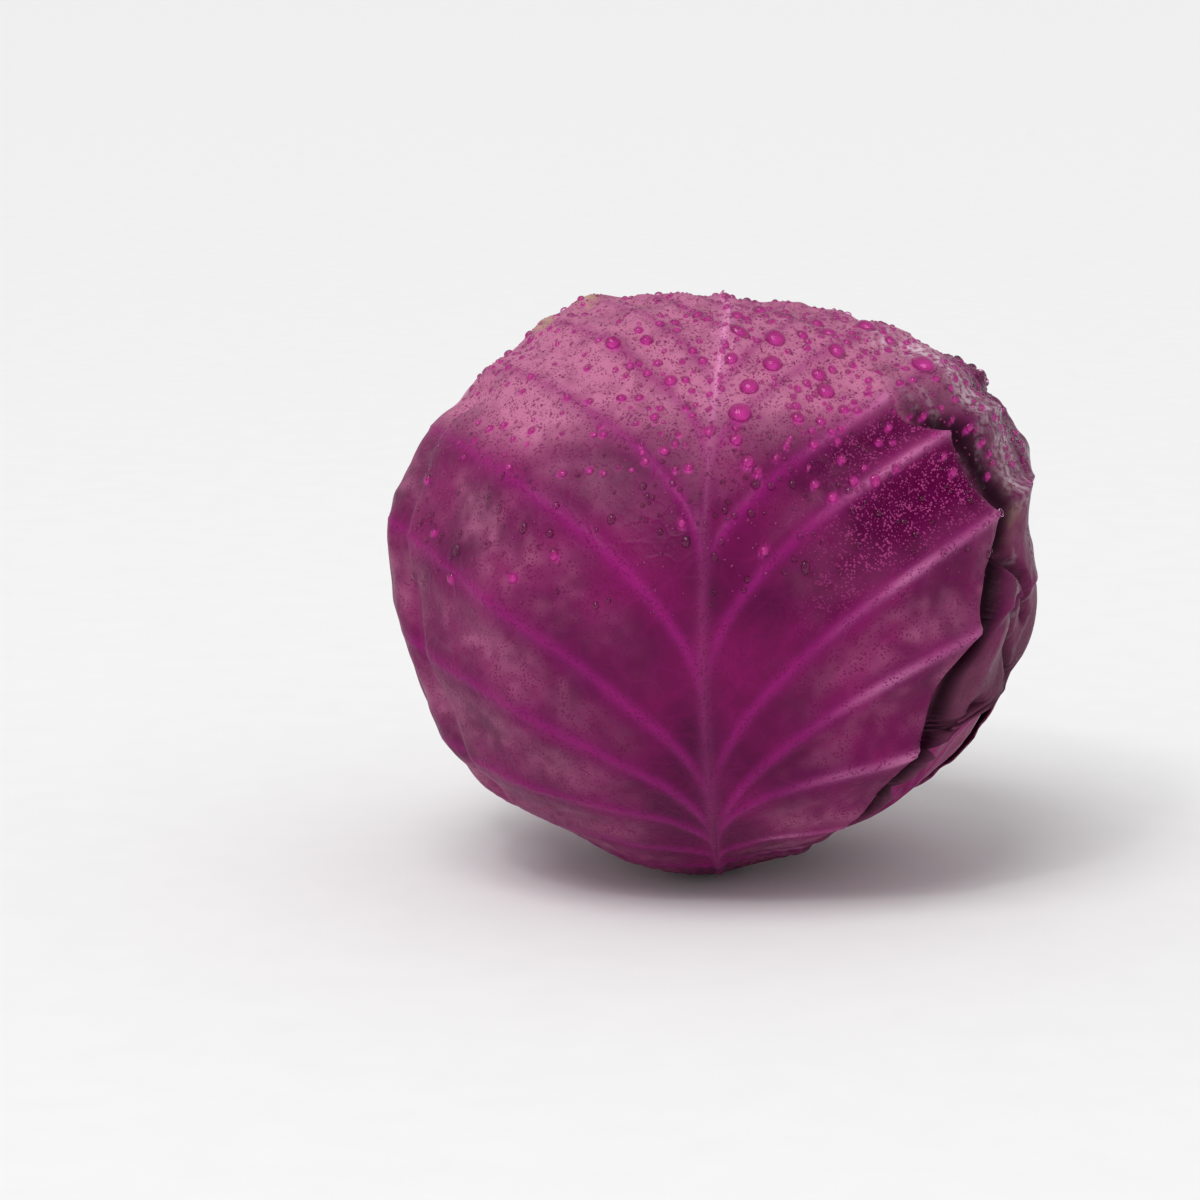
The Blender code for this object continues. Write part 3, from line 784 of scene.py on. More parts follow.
def other_skin(leaf, share, way, cloud, mottle, off_vein, beyond):
    """The same for a leaf that has no dew on it."""
    bloom = ease((way[..., 2] + 0.30 + 0.7 * (cloud - 0.5)) / 1.0)
    bloom = np.maximum(bloom, ease(off_vein * 1.7 - 0.3) * (0.1 + 0.5 * cloud)) * (0.6 + 0.5 * mottle)
    # The leaf that shows low on the right was only bared when the outermost one tore
    fresh = leaf.name == "right_front"
    bloom *= 0.08 if fresh else 1.0
    edge = ease((share - 0.955) / 0.045)
    return {
        "bloom": bloom * (1.0 - 0.6 * edge),
        "wet": np.full(share.shape, 0.3 * fresh),
        "covered": np.full(share.shape, 1.0 * fresh),
        "dry": 0.55 * ease((share - 0.975) / 0.02) * (0.4 + 0.6 * mottle),
        "pale": 0.35 * edge * cloud,
        "shade": 0.25 * hump(beyond, 0.0, 0.02),
    }


def skin_of(leaf, across, rows, x, y, way, clear, vein, paper):
    """Every number of a leaf's skin, from 0 to 1."""
    share = np.abs(across)
    cloud = hills(paper, 26.0, 41 + leaf.order)
    mottle = hills(paper, 7.0, 61 + leaf.order)
    off_vein = np.abs(rows - np.round(rows)) * 2.0
    beyond = from_crease(leaf, across, rows, paper)
    from_midrib = (x - sway(y)) * MM_PER_DEGREE
    midrib = hump(from_midrib, 0.0, 1.25) + 0.3 * hump(from_midrib, 0.0, 4.0)
    midrib *= 0.05 + 0.95 * ease((y - 22.0) / 44.0)
    skin = dict.fromkeys(SKIN_NUMBERS, np.zeros_like(x))
    if leaf.order:
        skin.update(other_skin(leaf, share, way, cloud, mottle, off_vein, beyond))
    else:
        skin.update(front_skin(leaf, across, rows, x, y, paper, cloud, mottle, off_vein, beyond))
        # Painted highlight: a pale line on the crests of the side ribs, most near their peaks, in the
        # midrib's pink
        crest_highlight = hump(vein_distance(leaf, across, rows), 0.0, CREST_HIGHLIGHT_HALF_WIDTH)
        crest_highlight *= ease((share - 0.25) / 0.3) * (beyond < 0)
        crest_highlight *= 0.55 * (across > 0) * (rows < 9.4) * (0.4 + hills(paper, 9.0, 67))
        midrib = np.maximum(midrib, crest_highlight)
    skin.update(vein=vein, midrib=midrib, covered=np.maximum(1.0 - clear, skin["covered"]))
    return {label: np.clip(values, 0.0, 1.0) for label, values in skin.items()}


# That pale line is a painted highlight
print("the pale line along a rubbed rib is", 2 * CREST_HIGHLIGHT_HALF_WIDTH, "mm wide")

# %% [markdown]
# ## Building meshes
#
# Each piece is made of points, faces and, for a leaf, the numbers of its skin. Editing tools and operators
# work on one face at a time. Blender can also fill a mesh from arrays in one go, which is far quicker.

# %% From arrays to a mesh object


def mesh_piece(name, points, faces, numbers=None, paper=None):
    """A smooth mesh object with its numbers stored at its points."""
    mesh = bpy.data.meshes.new(name)
    mesh.from_pydata(points.reshape(-1, 3).tolist(), [], faces)
    for label, values in (numbers or {}).items():
        layer = mesh.attributes.new(label, "FLOAT", "POINT")
        layer.data.foreach_set("value", values.astype(np.float32).ravel())
    if paper is not None:
        layer = mesh.attributes.new("paper", "FLOAT_VECTOR", "POINT")
        layer.data.foreach_set("vector", paper.astype(np.float32).ravel())
    mesh.shade_smooth()
    piece = bpy.data.objects.new(name, mesh)
    bpy.context.scene.collection.objects.link(piece)
    return piece


print(len(SKIN_NUMBERS), "numbers at each point of a leaf")

# %% Faces of a sheet and of rings


def squares(index, flip=False):
    """The squares of a grid of point numbers."""
    corners = [index[:-1, :-1], index[:-1, 1:], index[1:, 1:], index[1:, :-1]]
    return np.stack(corners[::-1] if flip else corners, axis=-1).reshape(-1, 4).tolist()


def ring_numbers(rings, spokes):
    """Numbers of points that stand in rings. The last in a row is the first again, which closes the ring."""
    index = np.arange(rings * spokes).reshape(rings, spokes)
    return np.hstack([index, index[:, :1]])


def ball_faces(rings, spokes):
    """Rings closed by fans of triangles to a point below and a point above them."""
    index = ring_numbers(rings, spokes)
    low, high = index[0].tolist(), index[-1].tolist()
    faces = squares(index) + [(rings * spokes, end, start) for start, end in zip(low, low[1:])]
    return faces + [(rings * spokes + 1, start, end) for start, end in zip(high, high[1:])]


def rim(outer_line, inner_line, flip):
    """Triangles between a fine line and one with a third as many steps."""
    made = []
    for step in range(len(inner_line) - 1):
        a, b = int(inner_line[step]), int(inner_line[step + 1])
        o = [int(number) for number in outer_line[3 * step : 3 * step + 4]]
        made += [(a, o[0], o[1]), (a, o[1], o[2]), (a, o[2], b), (b, o[2], o[3])]
    return [face[::-1] for face in made] if flip else made


print("a ball of 2 rings of 3 points has", len(ball_faces(2, 3)), "faces")

# %% Make the six leaves


def build_leaf(leaf, cells):
    """The finished sheet of one leaf."""
    outer, inner, skin, paper = leaf_faces(leaf, cells)
    out = np.arange(outer[..., 0].size).reshape(outer.shape[:2])
    back = out.size + np.arange(inner[..., 0].size).reshape(inner.shape[:2])
    faces = squares(out) + squares(back, True)
    faces += rim(out[0], back[0], True) + rim(out[-1], back[-1], False)
    faces += rim(out[:, 0], back[:, 0], False) + rim(out[:, -1], back[:, -1], True)
    points = np.concatenate([outer.reshape(-1, 3), inner.reshape(-1, 3)])
    # The inner face has every third number of the outer one
    numbers = {label: np.concatenate([skin[label].ravel(), skin[label][::3, ::3].ravel()]) for label in skin}
    # Each leaf has its own height in the patterns, so that no two look alike
    paper = np.dstack([paper, np.full(paper.shape[:2], leaf.order * 40.0 * MM_PER_DEGREE)])
    paper = np.concatenate([paper.reshape(-1, 3), paper[::3, ::3].reshape(-1, 3)])
    return mesh_piece(f"cabbage_leaf_{leaf.name}", points, faces, numbers, paper), outer


leaf_pieces = {}
for leaf in LEAVES:
    piece, outer = build_leaf(leaf, OTHER_CELLS if leaf.order else FRONT_CELLS)
    leaf_pieces[leaf.name] = piece
    if leaf.order == 0:
        front_surface = outer
    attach(piece, "root")
    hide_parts(f"wrapper_leaf_{leaf.name}")
    print(piece.name, len(piece.data.polygons), "faces")

# %% [markdown]
# ## The heart
#
# Under the wrapper leaves is the ball of packed leaves. Each could be made like the wrappers, but only
# glimpses show, round the stem, so one round surface with the ridges of leaf edges winding over it is
# enough.

# %% The ball of packed leaves
HEART_RINGS, HEART_SPOKES = 150, 200
HEART_SHRINK = 0.9 * MM
HEART_FLOOR = 7.9 * MM


def build_heart():
    """A closed ball whose leaf edges wind up to the crown."""
    polar = np.linspace(0.0, math.pi, HEART_RINGS + 1)[1:-1]
    turn = np.linspace(0.0, 2 * math.pi, HEART_SPOKES, endpoint=False)
    turn_grid, polar_grid = np.meshgrid(turn, polar)
    way = np.stack(
        [np.sin(polar_grid) * np.cos(turn_grid), np.sin(polar_grid) * np.sin(turn_grid), -np.cos(polar_grid)],
        axis=-1,
    )
    winding = (turn_grid / (2 * math.pi) * 5.0 + polar_grid * 0.8) % 1.0
    points = placed(way, 0.5 * MM * (1.0 - winding) ** 2 - HEART_SHRINK - 0.6 * MM)
    points[..., 2] = np.maximum(points[..., 2], HEART_FLOOR)
    ends = placed(np.array([[0.0, 0.0, -1.0], [0.0, 0.0, 1.0]]), np.full(2, -HEART_SHRINK))
    ends[0, 2] = HEART_FLOOR
    vein = np.append(hump(winding, 0.5, 1 / 9), [0.0, 0.0])
    numbers = dict.fromkeys(SKIN_NUMBERS, np.zeros_like(vein))
    numbers.update(vein=vein, covered=np.ones_like(vein))
    all_points = np.concatenate([points.reshape(-1, 3), ends])
    faces = ball_faces(len(points), HEART_SPOKES)
    return mesh_piece("packed_heart", all_points, faces, numbers, all_points / MM)


heart = build_heart()
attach(heart, "root")
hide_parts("heart")
print("the heart is", [round(side * 1000) for side in heart.dimensions], "mm")

# %% [markdown]
# ## The cut stem
#
# The stem is cut flush with the lowest leaves. Its cut shows a pale pith, a ring of tough strands and a
# skin. A cylinder would look machined. So it is turned from a profile with five shallow lobes, where leaves
# were joined to it, and the cut face gets rings of points so that the pith can sink a little as it dries.

# %% The stump
STEM_RADIUS, STEM_TOP_RADIUS, STEM_HEIGHT = 13.1 * MM, 11.6 * MM, 7.5 * MM
STEM_SPOKES = 120
CUT_EDGE = 0.55 * MM  # height where the cut's rounded edge ends


def build_stem():
    """The stump, with its cut face down."""
    sunk = [(r, 0.5 * MM * max(0.0, 1 - (r / 0.72) ** 4)) for r in np.linspace(0.03, 0.94, 22)]
    profile = [(r * STEM_RADIUS, z) for r, z in sunk]
    profile += [(STEM_RADIUS * 0.975, 0.12 * MM), (STEM_RADIUS, CUT_EDGE)]
    for t in np.linspace(0.1, 1.0, 12):
        radius = STEM_RADIUS + (STEM_TOP_RADIUS - STEM_RADIUS) * t
        profile.append((radius, CUT_EDGE + (STEM_HEIGHT - CUT_EDGE) * t))
    profile += [(STEM_TOP_RADIUS * 0.5, STEM_HEIGHT), (STEM_TOP_RADIUS * 0.03, STEM_HEIGHT)]
    turn = np.linspace(0, 2 * math.pi, STEM_SPOKES, endpoint=False)
    radius, height = np.array(profile).T[:, :, None]
    lobes = 1.0 - 0.022 * (0.5 + 0.5 * np.cos(5 * turn + 0.6)) * ease(radius / STEM_RADIUS * 2 - 1)
    radius = radius * lobes
    points = np.stack([radius * np.cos(turn), radius * np.sin(turn), height + 0 * turn], axis=-1)
    index = ring_numbers(len(profile), STEM_SPOKES)
    faces = squares(index) + [index[0, -2::-1].tolist(), index[-1, :-1].tolist()]
    return mesh_piece("cut_stem", points, faces)


stem = build_stem()
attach(stem, "root")
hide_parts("stem")
print("the stem is", [round(side * 1000, 1) for side in stem.dimensions], "mm")

# %% [markdown]
# ## The beads as meshes
#
# A bead could be a full sphere, but a drop this small clings to the skin as a dome with a round shoulder.
# Each is a closed dome, a little sunk in the leaf and drawn out downhill. All beads of a size share one
# mesh, with only as many faces as its size in the picture needs.

# %% Shape of a bead
BEAD_SINK = 0.08
BEAD_FLATNESS = 0.8


def bead_shape(rings, spokes):
    """A closed dome of radius 1, flat below, as points and faces."""
    heights = np.sin(np.linspace(-0.35, math.pi / 2, rings + 1)[:-1])
    widths = np.sqrt(1.0 - heights**2)
    turn = np.linspace(0, 2 * math.pi, spokes, endpoint=False)
    points = [(w * math.cos(a), w * math.sin(a), h) for w, h in zip(widths, heights) for a in turn]
    points += [(0.0, 0.0, heights[0]), (0.0, 0.0, 1.0)]
    return np.array(points) * (1.0, 1.0, BEAD_FLATNESS), ball_faces(rings, spokes)


print("a large bead has", len(bead_shape(10, 32)[1]), "faces")

# %% Make the beads
# Name, least and greatest radius in millimetres, rings and spokes
BEAD_SIZES = (
    ("dew_large", 1.15, 9.0, 10, 32),
    ("dew_small", 0.44, 1.15, 5, 14),
    ("dew_mist", 0.0, 0.44, 2, 7),
)


def build_beads(name, chosen, rings, spokes):
    """Many beads in one mesh, each standing square on the outermost leaf."""
    _, _, place_x, place_y = leaf_places(LEAVES[0], FRONT_CELLS)
    shape, shape_faces = bead_shape(rings, spokes)
    random = np.random.default_rng(BEAD_SEED + rings)
    points, faces = [], []
    last = front_surface.shape[0] - 2
    for x, y, radius in chosen:
        miss = (place_x - x) ** 2 + (place_y - y) ** 2
        row, column = np.clip(np.unravel_index(np.argmin(miss), miss.shape), 1, last)
        here = front_surface[row, column]
        ahead = front_surface[row, column + 1] - front_surface[row, column - 1]
        up = front_surface[row + 1, column] - front_surface[row - 1, column]
        normal = np.cross(ahead, up)
        normal /= np.linalg.norm(normal)
        downhill = np.array([0.0, 0.0, -1.0]) + normal * normal[2]
        downhill /= max(np.linalg.norm(downhill), 1e-6)
        side = np.cross(normal, downhill)
        # Each bead is drawn out downhill a little, and a few are odd shapes
        stretch = 1.0 + 0.12 * random.random() + 0.5 * random.random() ** 6
        local = shape * radius * MM
        world = here - normal * BEAD_SINK * radius * MM + local[:, :1] * downhill * stretch
        world = world + local[:, 1:2] * side + local[:, 2:] * normal
        faces += [[corner + len(points) * len(shape) for corner in face] for face in shape_faces]
        points.append(world)
    return mesh_piece(name, np.concatenate(points), faces)


dew_pieces = []
for name, low, high, rings, spokes in BEAD_SIZES:
    chosen = beads[(beads[:, 2] >= low) & (beads[:, 2] < high)]
    piece = build_beads(name, chosen, rings, spokes)
    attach(piece, "root")
    dew_pieces.append(piece)
    print(name, len(chosen), "beads,", len(piece.data.polygons), "faces")

# %% [markdown]
# ## Colour and nodes
#
# Colours are given as sRGB hex, which is how a colour picker shows them. Shaders work in linear light, so
# one function turns them. Materials can be drawn by hand in the node editor, but here one small function
# adds a node with its settings, values and links, so that a material can be read from top to bottom.

# %% Colour and node helpers


def linear(hex_code):
    """A linear colour, with alpha 1, from an sRGB hex."""
    parts = [int(hex_code[i : i + 2], 16) / 255 for i in (1, 3, 5)]
    return [p / 12.92 if p <= 0.04045 else ((p + 0.055) / 1.055) ** 2.4 for p in parts] + [1.0]


def set_inputs(node, inputs):
    """Gives each named input of a node its value or its link."""
    for name, value in inputs.items():
        if isinstance(value, bpy.types.NodeSocket):
            node.id_data.links.new(value, node.inputs[name])
        else:
            node.inputs[name].default_value = value


def add_node(tree, kind, inputs, out=0, **settings):
    """Adds a node with its settings, values and links, and gives back one of its outputs."""
    node = tree.nodes.new("ShaderNode" + kind)
    for name, value in settings.items():
        setattr(node, name, value)
    set_inputs(node, inputs)
    return node.outputs[out]


def make_material(name, looks):
    """A material whose shader takes its inputs from a function of the node tree."""
    material = bpy.data.materials.new(name)
    material.use_nodes = True
    inputs = looks(material.node_tree)
    set_inputs(material.node_tree.nodes["Principled BSDF"], inputs)
    print(name, "has", len(material.node_tree.nodes), "nodes and sets", ", ".join(inputs))
    return material


print("middle grey in linear light is", round(linear("#808080")[0], 3))

# %% Layers of colour
# Sockets of the Mix node when it mixes colours
FACTOR, COLOUR_A, COLOUR_B, MIXED = 0, 6, 7, 2


def layered(tree, ground, layers):
    """A colour with others laid over it. A layer has its share, how much of that counts, and its colour."""
    colour = linear(ground)
    for share, strength, hex_code in layers:
        share = add_node(tree, "Math", {0: share, 1: strength}, operation="MULTIPLY")
        mix = {FACTOR: share, COLOUR_A: colour, COLOUR_B: linear(hex_code)}
        colour = add_node(tree, "Mix", mix, MIXED, data_type="RGBA")
    return colour


print("black over white, half of it counting, would be linear", 0.5 * linear("#FFFFFF")[0])

# %% [markdown]
# ## Waxy leaf skin
#
# A living leaf is water behind a thin clear skin, coated with wax. The pigment is a red-blue anthocyanin.
# Its IOR is about 1.4, it is no metal, and the wax makes it satin: rough where the bloom is thick, shiny
# where it is wet or rubbed. The bloom is broken by fine dark specks, 0.5 to 1 mm apart, and a net of small
# veins, with meshes of 4 to 8 mm, lies between the ribs. A photo could be wrapped round it, but patterns
# from noise stay sharp however near the eye comes, and the numbers on the mesh tell them where to be.

# %% Colours and grain of the skin
PIGMENT_DEEP, PIGMENT_BRIGHT = "#500138", "#780852"
RIB_PINK, MIDRIB_PINK = "#A41C7F", "#E08DBC"
WAX_BLOOM, PALE_WAX = "#C47699", "#D6BECB"
# The light speck colour paints glints of fine mist, a painted highlight
SPECK_DARK, MIST_GLINT_PINK = "#650A44", "#A8427F"
# The fold colour is painted shade
WET_DEEP, FOLD_SHADE = "#4E0134", "#1C0412"
DRY_MARGIN, YELLOWED = "#5E3949", "#B9AE7E"
COVERED_MAGENTA = "#96105F"
# Under the clear beads the skin is painted brighter, and a painted spot of light lies low in each
LIT_UNDER_DEW, LIT_BY_DEW = "#AE1A80", "#E352B6"
NET_MESH, NET_BEND, SPECK_PITCH = 6.5, 7.0, 0.7  # mm
# Millimetres across, and detail. Cells are finer than the grain, but this is as fine as shows
NOISES = {
    "drift": (24.0, 4.0),  # of the pigment
    "bend": (9.0, 2.0),  # of the vein net
    "patch": (3.5, 3.0),  # of larger specks
    "crumbs": (1.6, 2.0),  # of wax
    "wrinkle": (3.5, 3.0),
    "grain": (0.6, 2.0),
}
print("specks are", SPECK_PITCH, "mm apart and the meshes of the net", NET_MESH, "mm wide")

# %% Patterns of the skin


def skin_patterns(tree, paper):
    """The noises, the vein net and the specks, each from 0 to 1."""
    made = {}
    for name, (pitch, detail) in NOISES.items():
        noise = {"Vector": paper, "Scale": 1 / pitch, "Detail": detail}
        made[name] = add_node(tree, "TexNoise", noise, "Color" if name == "bend" else "Fac")
    made["drift"] = add_node(tree, "MapRange", {"Value": made["drift"], "From Min": 0.35, "From Max": 0.65})
    made["crumbs"] = add_node(tree, "MapRange", {"Value": made["crumbs"], "From Min": 0.4, "From Max": 0.56})
    # The net is bent by noise so that its meshes are uneven
    bend = add_node(tree, "VectorMath", {0: made["bend"], "Scale": NET_BEND}, operation="SCALE")
    moved = add_node(tree, "VectorMath", {0: paper, 1: bend}, operation="ADD")
    net = {"Vector": moved, "Scale": 1 / NET_MESH}
    net = add_node(tree, "TexVoronoi", net, "Distance", feature="DISTANCE_TO_EDGE")
    net = {"Value": net, "From Min": 0.0, "From Max": 0.12, "To Min": 1.0, "To Max": 0.0}
    made["net"] = add_node(tree, "MapRange", net, interpolation_type="SMOOTHSTEP")
    # Specks are larger and closer in some patches
    speck = add_node(tree, "TexVoronoi", {"Vector": paper, "Scale": 1 / SPECK_PITCH}, "Distance")
    size = {"Value": made["patch"], "From Min": 0.34, "From Max": 0.62, "To Min": 0.22, "To Max": 0.48}
    size = add_node(tree, "MapRange", size)
    speck = add_node(tree, "Math", {0: size, 1: speck}, operation="SUBTRACT")
    made["speck"] = add_node(tree, "MapRange", {"Value": speck, "From Min": -0.02, "From Max": 0.14})
    return made


print("the net is bent by up to", NET_BEND / 2, "mm either way")

# %% Layers of the skin
# Shares that are the product of two others: dust and wetness between the ribs, painted glints of mist on wet
# skin, and crumbs
SHARES = (
    ("dust", "bloom", "bare"),
    ("pool", "wet", "bare"),
    ("mist_glints", "speck", "wet"),
    ("crumbled", "pale", "crumbs"),
)
# From the lowest up: share, how much of it counts, and colour
SKIN_LAYERS = (
    ("drift", 1.0, PIGMENT_BRIGHT),
    ("covered", 0.6, COVERED_MAGENTA),
    # The wet number also holds the painted crease shade
    ("pool", 0.85, WET_DEEP),
    # The dust share also holds painted bounce light low on the left of the outermost leaf
    ("dust", 0.86, WAX_BLOOM),
    ("net", 0.05, RIB_PINK),
    ("rib", 1.0, RIB_PINK),
    # The midrib number also holds the painted highlight on the rib crests
    ("midrib", 0.8, MIDRIB_PINK),
    ("speck", 0.7, SPECK_DARK),
    # Painted highlights: glints of fine mist where the skin is wet
    ("mist_glints", 0.8, MIST_GLINT_PINK),
    ("yellow", 0.6, YELLOWED),
    ("crumbled", 0.9, PALE_WAX),
    ("dry", 0.8, DRY_MARGIN),
    # Painted shade in the crease and the furrows
    ("shade", 0.96, FOLD_SHADE),
    # Painted light: the skin under the clear beads is brighter, with a lit spot low in each
    ("dew_wet_and_lit", 0.9, LIT_UNDER_DEW),
    ("lit", 0.85, LIT_BY_DEW),
)
print("the skin has", len(SKIN_LAYERS), "layers of colour")

# %% Waxy leaf skin


def waxy_skin(tree):
    """The skin of the leaves: colour by place, satin wax, and relief."""
    here = {label: add_node(tree, "Attribute", {}, "Fac", attribute_name=label) for label in SKIN_NUMBERS}
    paper = add_node(tree, "Attribute", {}, "Vector", attribute_name="paper")
    here.update(skin_patterns(tree, paper))
    # The bloom covers the ribs too, but thinner
    dusted = add_node(tree, "MapRange", {"Value": here["bloom"], "To Min": 0.5, "To Max": 0.34})
    here["rib"] = add_node(tree, "Math", {0: here["vein"], 1: dusted}, operation="MULTIPLY")
    here["bare"] = add_node(tree, "Math", {0: 1.0, 1: here["rib"]}, operation="SUBTRACT")
    for name, one, other in SHARES:
        here[name] = add_node(tree, "Math", {0: here[one], 1: here[other]}, operation="MULTIPLY")
    # Rough where waxy, smooth where wet, and deep, wet skin has no sheen of wax at a shallow angle
    # The wet number also holds the painted crease shade
    waxy = add_node(tree, "MapRange", {"Value": here["dust"], "To Min": 0.42, "To Max": 0.62})
    gloss = add_node(tree, "Math", {0: here["wet"], 1: -0.2}, operation="MULTIPLY")
    rough = add_node(tree, "Math", {0: waxy, 1: gloss}, operation="ADD")
    sheen = add_node(tree, "MapRange", {"Value": here["wet"], "To Min": 0.16, "To Max": 0.05})
    # The net stands up, the blade is wrinkled where no water evens it out, and the skin has a fine grain
    dull = add_node(tree, "MapRange", {"Value": here["wet"], "To Min": 1.0, "To Max": 0.25})
    wrinkle = add_node(tree, "Math", {0: here["wrinkle"], 1: dull}, operation="MULTIPLY")
    bump = {}
    for height, depth in ((here["net"], 0.12), (wrinkle, 0.6), (here["grain"], 0.10)):
        bump.update({"Strength": 0.6, "Distance": depth * MM, "Height": height})
        bump = {"Normal": add_node(tree, "Bump", bump)}
    colour = layered(tree, PIGMENT_DEEP, [(here[name], *rest) for name, *rest in SKIN_LAYERS])
    return {"Base Color": colour, "Roughness": rough, "IOR": 1.4, "Specular IOR Level": sheen, **bump}


leaf_skin = make_material("waxy_leaf_skin", waxy_skin)
for piece in [*leaf_pieces.values(), heart]:
    piece.data.materials.append(leaf_skin)

# %% [markdown]
# ## Drying pith
#
# The cut of a stem is moist pith that dries to cream and browns where air reaches it. It is matt, like damp
# wood. The ring of strands is a darker line about 2.5 mm inside the skin. An image could hold it all, but
# distance from the stem's middle and some noise are enough for what little shows.

# %% Drying cabbage pith
PITH_CREAM, PITH_BROWN = "#D8CDA4", "#8C6B45"
STRAND_GREEN, STEM_SKIN = "#9C9A62", "#7C5A72"
STRAND_RING = 10.4  # mm from the middle
BLOTCH_PITCH, PITH_FIBRE = 6.0, 0.7  # mm


def pith_and_rind(tree):
    """The stump's cut and its side."""
    spot = add_node(tree, "TexCoord", {}, "Object")
    in_mm = add_node(tree, "VectorMath", {0: spot, "Scale": 1 / MM}, operation="SCALE")
    level = add_node(tree, "VectorMath", {0: in_mm, 1: (1.0, 1.0, 0.0)}, operation="MULTIPLY")
    radius = add_node(tree, "VectorMath", {0: level}, "Value", operation="LENGTH")
    ring = add_node(tree, "Math", {0: radius, 1: STRAND_RING}, operation="SUBTRACT")
    ring = add_node(tree, "Math", {0: ring}, operation="ABSOLUTE")
    ring = {"Value": ring, "From Min": 0.2, "From Max": 0.9, "To Min": 0.8, "To Max": 0.0}
    ring = add_node(tree, "MapRange", ring)
    brown = add_node(tree, "TexNoise", {"Vector": in_mm, "Scale": 1 / BLOTCH_PITCH, "Detail": 5.0})
    brown = add_node(tree, "MapRange", {"Value": brown, "From Min": 0.5, "From Max": 0.75})
    side = add_node(tree, "SeparateXYZ", {0: in_mm}, "Z")
    side = add_node(tree, "MapRange", {"Value": side, "From Min": 0.5, "From Max": 1.6})
    fibre = add_node(tree, "TexNoise", {"Vector": in_mm, "Scale": 1 / PITH_FIBRE, "Detail": 3.0})
    bump = add_node(tree, "Bump", {"Strength": 0.5, "Distance": 0.3 * MM, "Height": fibre})
    layers = ((brown, 1.0, PITH_BROWN), (ring, 1.0, STRAND_GREEN), (side, 1.0, STEM_SKIN))
    colour = layered(tree, PITH_CREAM, layers)
    return {"Base Color": colour, "Roughness": 0.7, "IOR": 1.4, "Normal": bump}


stem.data.materials.append(make_material("drying_cabbage_pith", pith_and_rind))

# %% [markdown]
# ## Dew water
#
# Clean water has an IOR of 1.33, no colour of its own, and a perfectly smooth surface. Clear beads gather
# the light and the pigment under them, so a faint magenta tint keeps what they show as rich as it looks on
# a real leaf. The finest beads are too small to see through in the render, so they are made half clear, in
# the colour of the light that they gather.

# %% Clear and fine dew water
BEAD_TINT, MIST_TINT = "#FFC4F2", "#B02C84"


def dew_looks(tree, tint, clearness):
    """The water of the beads, a little deeper in tint here and there."""
    spot = add_node(tree, "TexCoord", {}, "Object")
    haze = add_node(tree, "TexNoise", {"Vector": spot, "Scale": 400.0, "Detail": 1.0})
    deeper = [0.9 * part for part in linear(tint)[:3]] + [1.0]
    tints = {FACTOR: haze, COLOUR_A: linear(tint), COLOUR_B: deeper}
    colour = add_node(tree, "Mix", tints, MIXED, data_type="RGBA")
    gloss = {"Roughness": 0.03, "IOR": 1.33, "Specular IOR Level": 0.9, "Transmission Weight": clearness}
    return {"Base Color": colour, **gloss}


clear_dew = make_material("clear_dew_water", lambda tree: dew_looks(tree, BEAD_TINT, 1.0))
fine_dew = make_material("fine_dew_water", lambda tree: dew_looks(tree, MIST_TINT, 0.4))
for piece in dew_pieces:
    piece.data.materials.append(fine_dew if piece.name == "dew_mist" else clear_dew)

# %% [markdown]
# ## The floor
#
# The head stands on pale, matt paper that runs on behind it, as in a product picture. A studio bends the
# paper up into a sweep. Here one flat sheet, wide enough to fill every view, gives the same even ground.

# %% Floor
FLOOR_REACH = 60.0  # metres each way
PAPER_LOW, PAPER_HIGH = "#EFEFEF", "#F4F4F4"


def matt_paper(tree):
    """Matt paper with a faint tone in its fibres."""
    spot = add_node(tree, "TexCoord", {}, "Object")
    fibre = add_node(tree, "TexNoise", {"Vector": spot, "Scale": 60.0, "Detail": 3.0})
    return {"Base Color": layered(tree, PAPER_LOW, ((fibre, 1.0, PAPER_HIGH),)), "Roughness": 0.9}


corners = [(x * FLOOR_REACH, y * FLOOR_REACH, 0.0) for x, y in ((-1, -1), (1, -1), (1, 1), (-1, 1))]
floor = mesh_piece("studio_floor", np.array(corners), [(0, 1, 2, 3)])
floor.data.materials.append(make_material("matt_studio_paper", matt_paper))

# %% [markdown]
# ## The light
#
# Real studios surround a subject with white cards: here white air lights it evenly from all sides, which
# one sheet lamp could not do. A broad light from high on the left gives it form, as a large softbox would,
# and a small lamp puts a glint on each bead of dew.

# %% Lights
HEAD_MIDDLE = (0.0, 0.0, 0.075)
SOFTBOX_SPREAD, SOFTBOX_STRENGTH = 38.0, 1.4  # degrees wide, watts per square metre
GLINT_SIZE, GLINT_WATTS = 0.14, 2.0
AIR_STRENGTH = 0.62


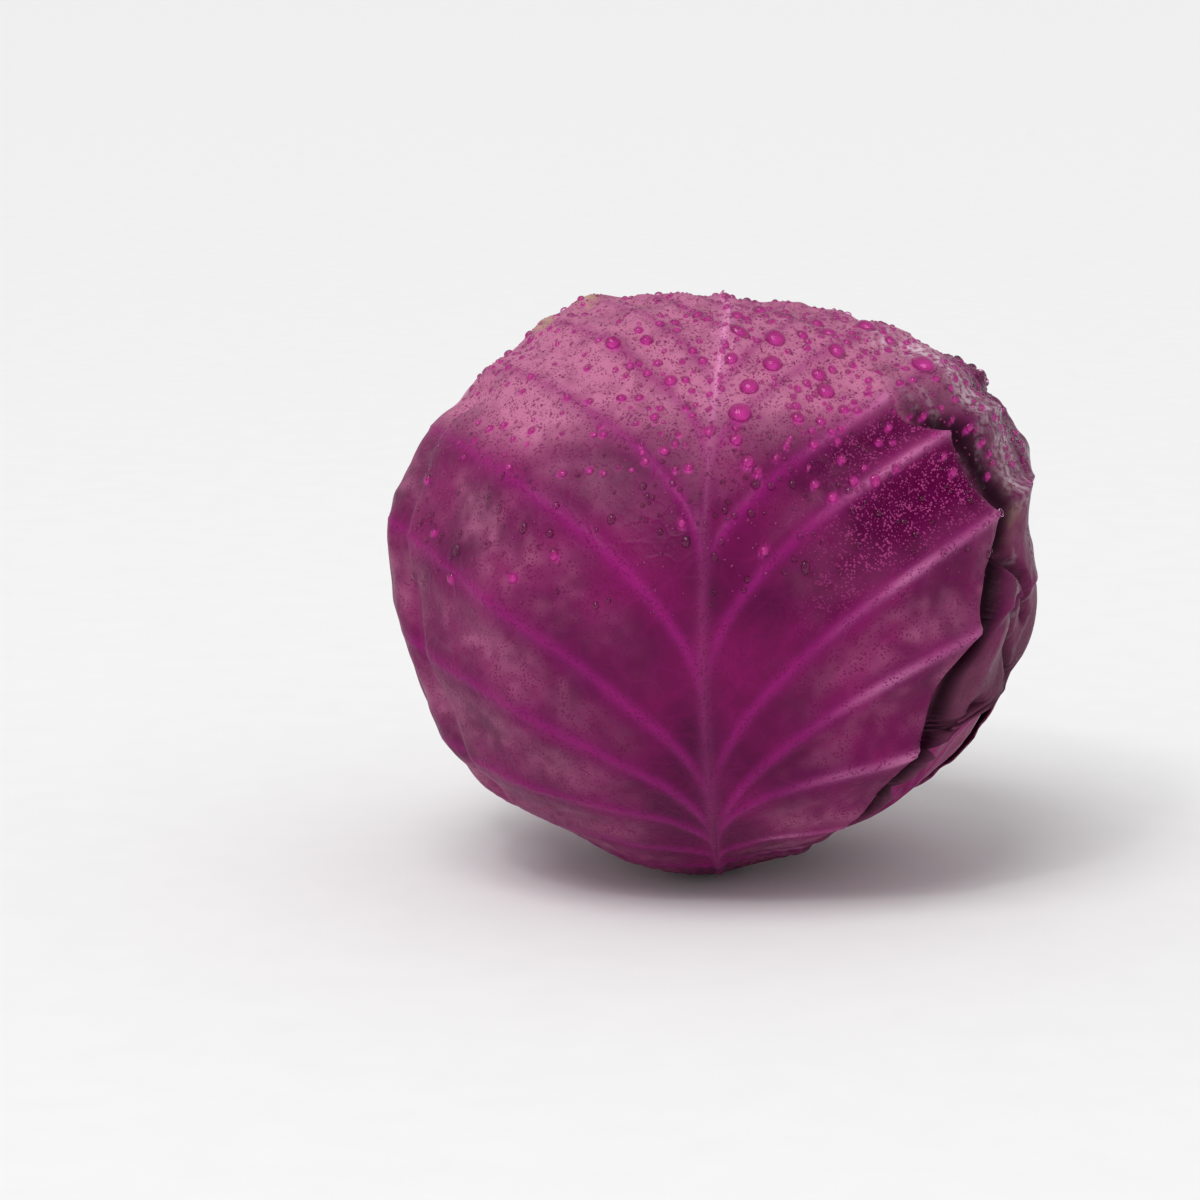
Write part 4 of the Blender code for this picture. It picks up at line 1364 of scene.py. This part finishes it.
def hang(name, data, place):
    """Puts a lamp in its place and aims it at the head."""
    lamp = bpy.data.objects.new(name, data)
    lamp.location = place
    aim = np.array(HEAD_MIDDLE) - np.array(place)
    level = math.hypot(aim[0], aim[1])
    lamp.rotation_euler = (math.atan2(level, -aim[2]), 0.0, math.atan2(aim[1], aim[0]) - math.pi / 2)
    bpy.context.scene.collection.objects.link(lamp)
    print(name, "hangs", round(float(np.linalg.norm(aim)), 2), "m from the head")


softbox = bpy.data.lights.new("overhead_softbox", "SUN")
softbox.angle = math.radians(SOFTBOX_SPREAD)
softbox.energy = SOFTBOX_STRENGTH
hang("overhead_softbox", softbox, (-0.45, -0.75, 1.5))
glint = bpy.data.lights.new("glint_lamp", "AREA")
glint.shape = "SQUARE"
glint.size = GLINT_SIZE
glint.energy = GLINT_WATTS
hang("glint_lamp", glint, (-0.5, -1.0, 1.25))
world = bpy.data.worlds.new("studio_air")
world.use_nodes = True
set_inputs(world.node_tree.nodes["Background"], {"Color": linear("#FFFFFF"), "Strength": AIR_STRENGTH})
bpy.context.scene.world = world

# %% [markdown]
# ## The camera
#
# The picture was taken from a little above the head's middle with a long lens. The head sits to the right
# of and above the middle of the frame. The camera could be turned away a little, but that would bend the
# outline, so the lens is shifted instead, as product photographers do.

# %% Camera
CAMERA_DISTANCE = 1.0
CAMERA_RISE = 10.0
FRAME_WIDTH = 0.3144  # metres of the head's plane across the picture
SENSOR = 36.0
SHIFT_ACROSS, SHIFT_UP = -0.1, -0.019  # shares of the frame
lens = bpy.data.cameras.new("picture_camera")
lens.sensor_width = SENSOR
lens.sensor_fit = "HORIZONTAL"
lens.lens = SENSOR * CAMERA_DISTANCE / FRAME_WIDTH
lens.shift_x, lens.shift_y = SHIFT_ACROSS, SHIFT_UP
camera = bpy.data.objects.new("picture_camera", lens)
rise = math.radians(CAMERA_RISE)
away = np.array([0.0, -math.cos(rise), math.sin(rise)]) * CAMERA_DISTANCE
camera.location = np.array(HEAD_MIDDLE) + away
camera.rotation_euler = (math.pi / 2 - rise, 0.0, 0.0)
bpy.context.scene.collection.objects.link(camera)
bpy.context.scene.camera = camera
bpy.context.scene.view_settings.view_transform = "Standard"
print("the lens is", round(lens.lens), "mm long")

# %% [markdown]
#
# The dressed head has to be as large as the plain model. The two could be compared by eye, but numbers are
# surer. The last line brings the scene up to date.

# %% Finish
bpy.context.view_layer.update()
